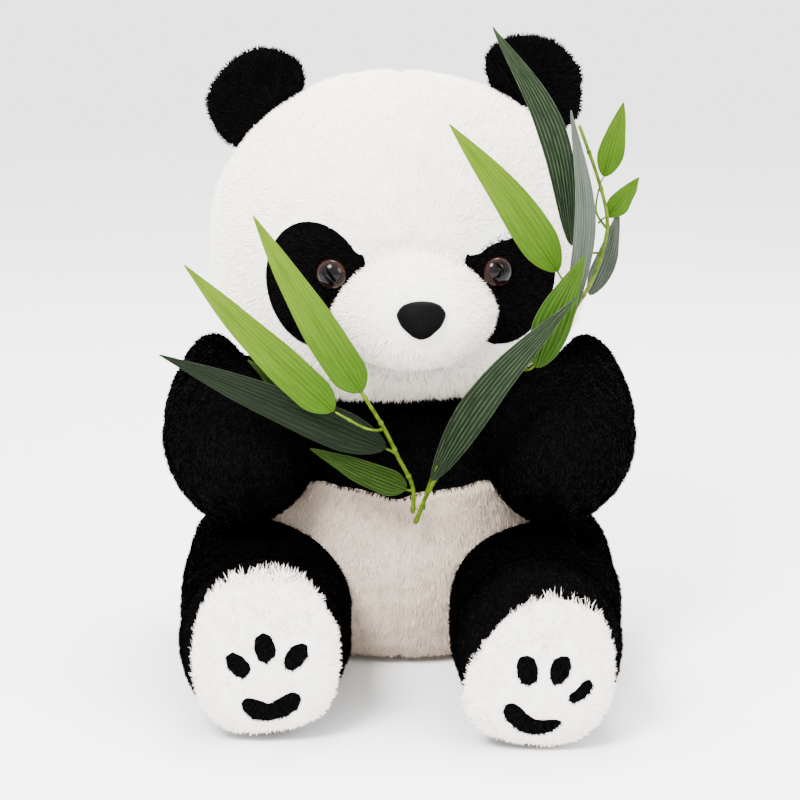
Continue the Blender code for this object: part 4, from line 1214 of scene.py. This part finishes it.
def make_leg(side, sign):
    pivot = HIP * np.array((sign, 1, 1))
    length = LEG_LENGTH[side]
    width, height = (size - PILE_ROOM for size in LEG_THIGH_SIZE)
    foot_width, foot_height = (size - PILE_ROOM for size in LEG_FOOT_SIZE)
    stations = rounded_start(width, height)
    for along in np.linspace(0, length - 0.016, 52):
        blend = float(smooth_step(along, FOOT_START - 0.012, FOOT_END + 0.006))
        pinch = 0.0022 * np.exp(-((along - FOOT_START + 0.006) / 0.005) ** 2)
        half_width = width + (foot_width - width) * blend - pinch
        half_height = height + (foot_height - height) * blend - pinch
        stations.append(((0, -along, blend * (foot_height - height)), half_width, half_height))
    rise = foot_height - height
    thigh_rows = len(stations)
    for angle in np.radians(np.linspace(12, 84, 9)):
        tuck = 0.013 * (1 - cos(angle))
        along = length - 0.016 + 0.014 * sin(angle)
        stations.append(((0, -along, rise), foot_width - tuck, foot_height - tuck))
    for share in (0.66, 0.4, 0.15):
        stations.append(((0, -length + 0.0018, rise), foot_width * share, foot_height * share))
    rings = limb_rings(stations)
    points = rings.reshape(-1, 3)
    along = -points[:, 1]
    thigh = 1 - smooth_step(along, 0.095, FOOT_START)
    thigh[thigh_rows * LIMB_AROUND:] = 0.0
    squarer(points, sign, stations, THIGH_POWER, thigh)
    points[:, 0] *= 1 + THIGH_FULLER * thigh * (points[:, 0] * sign > 0)
    outward = unit(points * np.array((1, 0.05, 1)))
    top_seam = np.exp(-(points[:, 0] / 0.0022) ** 2) * (points[:, 2] > 0)
    top_seam *= smooth_step(-points[:, 1], 0.0, 0.03)
    points -= outward * (0.0012 * top_seam * (points[:, 1] > -length + 0.03))[:, None]
    points += outward * 0.0013 * wander(points, 0.07, 101 + sign)[:, :1]
    points[:, 2] = np.maximum(points[:, 2], 0.0028 - pivot[2])
    rings = points.reshape(rings.shape) + pivot
    leg = rings_piece(
        f"leg_{side}_shape", rings, rings[0].mean(0) + (0, 0.0003, 0),
        pivot + (0, -length + 0.0016, rise), [BLACK_BACKING],
    )
    body = f"leg_{side}"
    dress(leg, body, "black_pile", f"leg_skin_{side}", f"leg_filling_{side}")

    middle, corners = SOLES[side]
    sole_reach = outline_reach(corners, 14.0)

    def comb(points, normals):
        return np.array((0.0, -1.0, 0.0)) + 0.4 * normals

    def where(points, normals):
        own = points - pivot
        out = outline_share(own, middle, sole_reach)
        return np.where((own[:, 1] < -length + 0.012) & (out < 0.86), 0.0, 1.0)

    def reach_length(points, normals):
        near = smooth_step(-(points - pivot)[:, 1], length - 0.03, length - 0.01)
        return BLACK_LENGTH * (1 - 0.25 * near)

    wear(grow(f"leg_pile_{side}", leg, BLACK_STRANDS, BLACK_PER_CM2, reach_length, comb,
              where=where, seed=111 + sign, lean=60), body, "black_pile")
    make_sole(side, sign, pivot, body)


def make_sole(side, sign, pivot, body):
    """The white sole, its long pile lying over the black round its edge, and its black pads."""
    middle, corners = SOLES[side]
    reach = outline_reach(np.array(corners) * SOLE_MARGIN, 14.0)
    end = foot_end(side)

    def to_world(points):
        return points + pivot

    sole = domed_pad(f"sole_shape_{side}", middle, reach, end, SOLE_SWELL, SOLE_SINK,
                     [WHITE_BACKING], rows=26, around=96, roundness=SOLE_ROUNDNESS)
    reshape(sole, to_world)
    dress(sole, body, "white_pile", f"sole_{side}")

    def share_of(points):
        return outline_share(points - pivot, middle, reach)

    def front(x, z):
        dx, dz = x - middle[0], z - middle[1]
        out = np.hypot(dx, dz) / reach(np.arctan2(dz, dx))
        raised = np.maximum(1 - np.minimum(out, 0.999) ** 2, 0.0) ** SOLE_ROUNDNESS
        return end(x, z) - SOLE_SWELL * raised + SOLE_SINK

    pads = {}
    for name, (place, pad_corners) in FOOT_PADS[side].items():
        pad_reach = outline_reach(pad_corners, 7.0)
        pads[name] = (place, pad_reach)
        pad = domed_pad(f"{name}_{side}_felt", place, pad_reach, front, PAD_HEIGHT, PAD_SINK,
                        [BLACK_BACKING], rows=12, around=72, roundness=0.25)
        reshape(pad, to_world)
        dress(pad, body, "black_pile", f"{name}_{side}")
        width, height, area = outline_size(pad_reach)
        wear(grow(f"{name}_{side}_pile", pad, BLACK_STRANDS, BLACK_PER_CM2 * 2.2, PAD_PILE, pad_comb,
                  lean=52, where=pad_where, seed=131 + sign), body, "black_pile")

    def comb(points, normals):
        away = points - pivot - np.array((middle[0], 0.0, middle[1]))
        return away * np.array((1.0, 0.0, 1.0)) / 0.045 + np.array((0.0, 0.0, 0.25))

    def beside_pads(points):
        shares = [outline_share(points - pivot, place, pad_reach) for place, pad_reach in pads.values()]
        return np.min(shares, axis=0)

    def where(points, normals):
        return np.where((normals[:, 1] < 0.3) & (beside_pads(points) > 1.04), 1.0, 0.0)

    def length(points, normals):
        top = smooth_step((points[:, 2] - pivot[2] - middle[1]) / 0.05, 0.55, 0.95)
        edge = smooth_step(share_of(points), 0.78, 0.98)
        clear = smooth_step(beside_pads(points), 1.0, 1.9)
        return WHITE_LENGTH * (0.30 + 0.26 * clear + edge * (0.05 + 0.62 * top))

    def dull(points, normals):
        return np.clip(0.22 * wander(points, 0.045, 141 + sign)[:, 0], 0.0, 0.6)

    wear(grow(f"sole_pile_{side}", sole, SOLE_STRANDS, WHITE_PER_CM2 * 1.25, length, comb,
              lean=63, where=where, seed=121 + sign, tuft=0.4, shaded=dull), body, "white_pile")


def pad_comb(points, normals):
    return np.array((0.0, 0.0, -1.0)) + 0.4 * normals


def pad_where(points, normals):
    return np.where(normals[:, 1] < 0.1, 1.0, 0.0)


# ---------------------------------------------------------------- bamboo

SHORT_FOOT = (0.0082, -0.1262, 0.1110)
LONG_FOOT = (0.0094, -0.1222, 0.1030)
STEMS = {
    "stem_short": ("bamboo_short", 0.0014, (
        SHORT_FOOT, (0.0078, -0.130, 0.1301), (-0.0012, -0.140, 0.1516),
        (-0.0100, -0.152, 0.1730), (-0.0236, -0.1678, 0.1996),
    )),
    "twig_short": ("bamboo_short", 0.0008, (
        (-0.0098, -0.1520, 0.1726), (-0.0145, -0.1585, 0.1732), (-0.0225, -0.1625, 0.1760),
        (-0.0395, -0.1668, 0.1866),
    )),
    "stem_long": ("bamboo_long", 0.0014, (
        LONG_FOOT, (0.0220, -0.1330, 0.1350), (0.0550, -0.1530, 0.1890),
        (0.0920, -0.1500, 0.2280), (0.1165, -0.1250, 0.2560), (0.1275, -0.1120, 0.2830),
        (0.1285, -0.1050, 0.3000), (0.1225, -0.0980, 0.3230), (0.1115, -0.0930, 0.3530),
    )),
}
# Leaves: branch and finish; base and tip; width, bow towards the front, sweep to the side, and
# the share of the length over which the leaf widens from its base
LEAVES = {
    "leaf_a": ("bamboo_short", "leaf_light", (-0.0232, -0.1675, 0.1990), (-0.0890, -0.1520, 0.3045),
               0.0225, 0.008, 0.0, 0.13),
    "leaf_b": ("bamboo_short", "leaf_light", (-0.0402, -0.1670, 0.1872), (-0.1310, -0.1500, 0.2740),
               0.0220, 0.008, 0.0, 0.14),
    "leaf_c": ("bamboo_short", "leaf_dark", (-0.0085, -0.1475, 0.1590), (-0.1445, -0.1760, 0.2240),
               0.0245, 0.003, 0.001, 0.22),
    "leaf_d": ("bamboo_short", "leaf_mid", (-0.0560, -0.1540, 0.1850), (-0.0925, -0.1555, 0.2170),
               0.0100, 0.001, 0.0, 0.25),
    "leaf_e": ("bamboo_short", "leaf_mid", (0.0040, -0.1330, 0.1290), (-0.0560, -0.1480, 0.1600),
               0.0165, 0.003, 0.0, 0.20),
    "leaf_f": ("bamboo_long", "leaf_dark", (0.0195, -0.1430, 0.1370), (0.1060, -0.1600, 0.2560),
               0.0200, 0.014, -0.009, 0.42),
    "leaf_g": ("bamboo_long", "leaf_dark", (0.1064, -0.1180, 0.2810), (0.0569, -0.1050, 0.4140),
               0.0170, 0.006, 0.012, 0.48),
    "leaf_h": ("bamboo_long", "leaf_light", (0.0970, -0.1360, 0.2680), (0.0300, -0.1300, 0.3570),
               0.0235, 0.008, 0.003, 0.22),
    "leaf_i": ("bamboo_long", "leaf_grey", (0.1010, -0.1440, 0.2290), (0.1050, -0.1130, 0.3640),
               0.0125, 0.004, 0.010, 0.45),
    "leaf_j": ("bamboo_long", "leaf_mid", (0.0830, -0.1560, 0.2120), (0.1120, -0.1500, 0.2800),
               0.0225, 0.002, -0.002, 0.35),
    "leaf_k": ("bamboo_long", "leaf_grey", (0.1190, -0.1080, 0.2480), (0.1370, -0.0910, 0.2990),
               0.0135, 0.004, 0.002, 0.30),
    "leaf_l": ("bamboo_long", "leaf_light", (0.1275, -0.0960, 0.3210), (0.1390, -0.0880, 0.3660),
               0.0155, 0.003, 0.0, 0.30),
    "leaf_m": ("bamboo_long", "leaf_light", (0.1300, -0.0980, 0.2960), (0.1500, -0.0870, 0.3190),
               0.0130, 0.002, 0.0, 0.30),
}
# Petioles: branch, and the places that each runs through from its stem to its leaf's back
PETIOLES = {
    "petiole_c": ("bamboo_short", (
        (-0.0012, -0.1405, 0.1530), (-0.0060, -0.1440, 0.1566),
        (-0.0120, -0.1462, 0.1598), (-0.0220, -0.1480, 0.1645),
    )),
    "petiole_e": ("bamboo_short", (
        (0.0079, -0.1290, 0.1268), (0.0030, -0.1320, 0.1285),
        (-0.0063, -0.1345, 0.1325), (-0.0150, -0.1380, 0.1370),
    )),
    "petiole_f": ("bamboo_long", (
        (0.0150, -0.1262, 0.1140), (0.0165, -0.1335, 0.1270),
        (0.0195, -0.1420, 0.1385), (0.0230, -0.1490, 0.1480),
    )),
    "petiole_g": ("bamboo_long", (
        (0.1250, -0.1140, 0.2760), (0.1180, -0.1150, 0.2760),
        (0.1090, -0.1170, 0.2790), (0.1060, -0.1170, 0.2900),
    )),
    "petiole_h": ("bamboo_long", (
        (0.1090, -0.1330, 0.2480), (0.1030, -0.1350, 0.2570),
        (0.0970, -0.1355, 0.2670), (0.0910, -0.1365, 0.2760),
    )),
    "petiole_j": ("bamboo_long", (
        (0.0740, -0.1520, 0.2100), (0.0790, -0.1545, 0.2105),
        (0.0835, -0.1555, 0.2150), (0.0870, -0.1550, 0.2230),
    )),
    "petiole_l": ("bamboo_long", (
        (0.1284, -0.1045, 0.2900), (0.1225, -0.1010, 0.3000),
        (0.1245, -0.0980, 0.3150), (0.1275, -0.0960, 0.3215), (0.1288, -0.0953, 0.3260),
    )),
    "petiole_m": ("bamboo_long", (
        (0.1240, -0.1015, 0.2925), (0.1270, -0.0995, 0.2950),
        (0.1300, -0.0980, 0.2962), (0.1325, -0.0965, 0.2985),
    )),
}


def smooth_path(points, per_span):
    points = [np.array(p, float) for p in points]
    ends = [2 * points[0] - points[1], *points, 2 * points[-1] - points[-2]]
    path = []
    for a, b, c, d in zip(ends, ends[1:], ends[2:], ends[3:]):
        for i in range(per_span):
            t = i / per_span
            path.append(0.5 * (2 * b + (c - a) * t + (2 * a - 5 * b + 4 * c - d) * t ** 2
                               + (3 * b - a - 3 * c + d) * t ** 3))
    return np.array([*path, points[-1]])


def tube(name, path, radius_at, look, around=14):
    """A closed tube along a path; its radius is a function of the length run so far."""
    steps = np.linalg.norm(np.diff(path, axis=0), axis=1)
    run = np.concatenate(([0.0], np.cumsum(steps)))
    ways = unit(np.gradient(path, axis=0))
    side = unit(np.cross(ways[0], (0.0, 1.0, 0.3))[None])[0]
    rings = []
    angle = np.linspace(0, 2 * pi, around, endpoint=False)
    for at, way, far in zip(path, ways, run):
        side = side - way * (side @ way)
        side = side / np.linalg.norm(side)
        up = np.cross(way, side)
        ring = np.cos(angle)[:, None] * side + np.sin(angle)[:, None] * up
        rings.append(at + ring * radius_at(far, run[-1]))
    return rings_piece(name, np.array(rings), path[0], path[-1], [look])


def make_stem(name, body, radius, points, look):
    """A moulded stem with the swollen joints of bamboo."""
    spacing = 0.024

    def radius_at(far, whole):
        off = (far + 0.35 * spacing) % spacing - spacing / 2
        joint = 0.42 * np.exp(-(off / 0.0011) ** 2)
        end = np.sqrt(np.clip(min(far, whole - far) / 0.0012, 0.05, 1.0))
        return radius * (1 + joint) * (1 - 0.18 * far / whole) * end

    stem = tube(f"{name}_shape", smooth_path(points, 26), radius_at, look)
    dress(stem, body, "stem_plastic", name)


def petiole_radius(far, whole):
    return 0.00085 - 0.0004 * far / whole


def make_leaf(name, body, slot, base, tip, width, bow, sweep, widens):
    """A fabric leaf: ribbed lengthwise, folded along its midrib and curling at its edges."""
    base, tip = np.array(base), np.array(tip)
    along = tip - base
    length = np.linalg.norm(along)
    across = np.cross(along, (0.0, -1.0, 0.0))
    across = across / np.linalg.norm(across)
    up = np.cross(across, along)
    up = up / np.linalg.norm(up)
    rows, columns = 64, 49
    t, u = np.meshgrid(np.linspace(0, 1, rows), np.linspace(-1, 1, columns), indexing="ij")
    full = max(widens, 0.29)
    taper = 1 - np.clip((t - full) / (1 - full), 0, 1) ** LEAF_TAPER
    half = width / 2 * np.sin(pi / 2 * np.minimum(t / widens, 1.0)) ** 0.62 * taper + 0.0003
    phase = sum(map(ord, name)) % 7
    ribs = 0.00016 * np.cos(u * pi * RIBS_ACROSS) * np.minimum(half / 0.008, 1.0)
    midrib = 0.0009 * np.exp(-(u / 0.055) ** 2) * (1 - 0.6 * t)
    fold = 0.20 * half * np.abs(u) ** 1.3
    ripple = 0.0011 * u ** 2 * np.sin(t * 4.2 * pi + phase + np.sign(u)) * np.sin(pi * t)
    curl = 0.0035 * (t ** 3) * np.sin(phase)
    arch = bow * np.sin(pi * t) + curl
    points = (
        base + along * t[..., None]
        + across * (half * u + sweep * np.sin(pi * t) ** 1.2)[..., None]
        + up * (arch + fold + ribs + midrib + ripple)[..., None]
    )
    faces = []
    for row in range(rows - 1):
        for column in range(columns - 1):
            a = row * columns + column
            faces.append((a, a + 1, a + columns + 1, a + columns))
    look = LEAF_LOOKS[DARKER_LEAVES.get(name, slot)]
    leaf = piece(f"{name}_cloth", points.reshape(-1, 3), faces, [look])
    uv = leaf.data.uv_layers.new(name="leaf")
    for loop in leaf.data.loops:
        row, column = divmod(loop.vertex_index, columns)
        uv.data[loop.index].uv = (column / (columns - 1), row / (rows - 1) * length / 0.12)
    solid = leaf.modifiers.new("cloth", "SOLIDIFY")
    solid.thickness = 0.0007
    solid.offset = 0.0
    settle(leaf)
    dress(leaf, body, slot, name)


def make_bamboo():
    look = stem_look()
    for name, (body, radius, points) in STEMS.items():
        make_stem(name, body, radius, points, look)
    for name, (body, points) in PETIOLES.items():
        petiole = tube(name, smooth_path(points, 12), petiole_radius, look, around=10)
        dress(petiole, body, "stem_plastic")
    for name, values in LEAVES.items():
        make_leaf(name, *values)


# ---------------------------------------------------------------- studio

def make_studio():
    floor = piece("floor", np.array((
        (-3.0, -3.0, 0.0), (3.0, -3.0, 0.0), (3.0, 3.0, 0.0), (-3.0, 3.0, 0.0),
    )), [(0, 1, 2, 3)], [floor_look()])
    world = bpy.data.worlds.new("studio")
    bpy.context.scene.world = world
    world.use_nodes = True
    background = world.node_tree.nodes["Background"]
    background.inputs["Color"].default_value = WORLD_COLOUR
    background.inputs["Strength"].default_value = WORLD_LIGHT
    for name, place, size, power in LAMPS:
        lamp = bpy.data.lights.new(name, "AREA")
        lamp.shape = "DISK"
        lamp.size = size
        lamp.energy = power
        obj = linked(name, lamp)
        obj.location = place
        obj.rotation_euler = (LAMP_TARGET - Vector(place)).to_track_quat("-Z", "Y").to_euler()


def make_camera():
    forward = Vector((0.0, cos(CAMERA_DOWN), -sin(CAMERA_DOWN)))
    camera = bpy.data.cameras.new("camera")
    camera.sensor_width = SENSOR_WIDTH
    camera.lens = CAMERA_LENS
    camera.clip_start = 0.05
    camera.clip_end = 20.0
    obj = linked("camera", camera)
    obj.location = CAMERA_TARGET - forward * CAMERA_DISTANCE
    obj.rotation_euler = forward.to_track_quat("-Z", "Y").to_euler()
    bpy.context.scene.camera = obj


make_head()
make_muzzle()
make_nose()
make_torso()
eye = eye_look()
for side, sign in SIDES.items():
    make_eye(side, sign, eye)
    make_ear(side, sign)
    make_arm(side, sign)
    make_leg(side, sign)
make_bamboo()
make_studio()
make_camera()
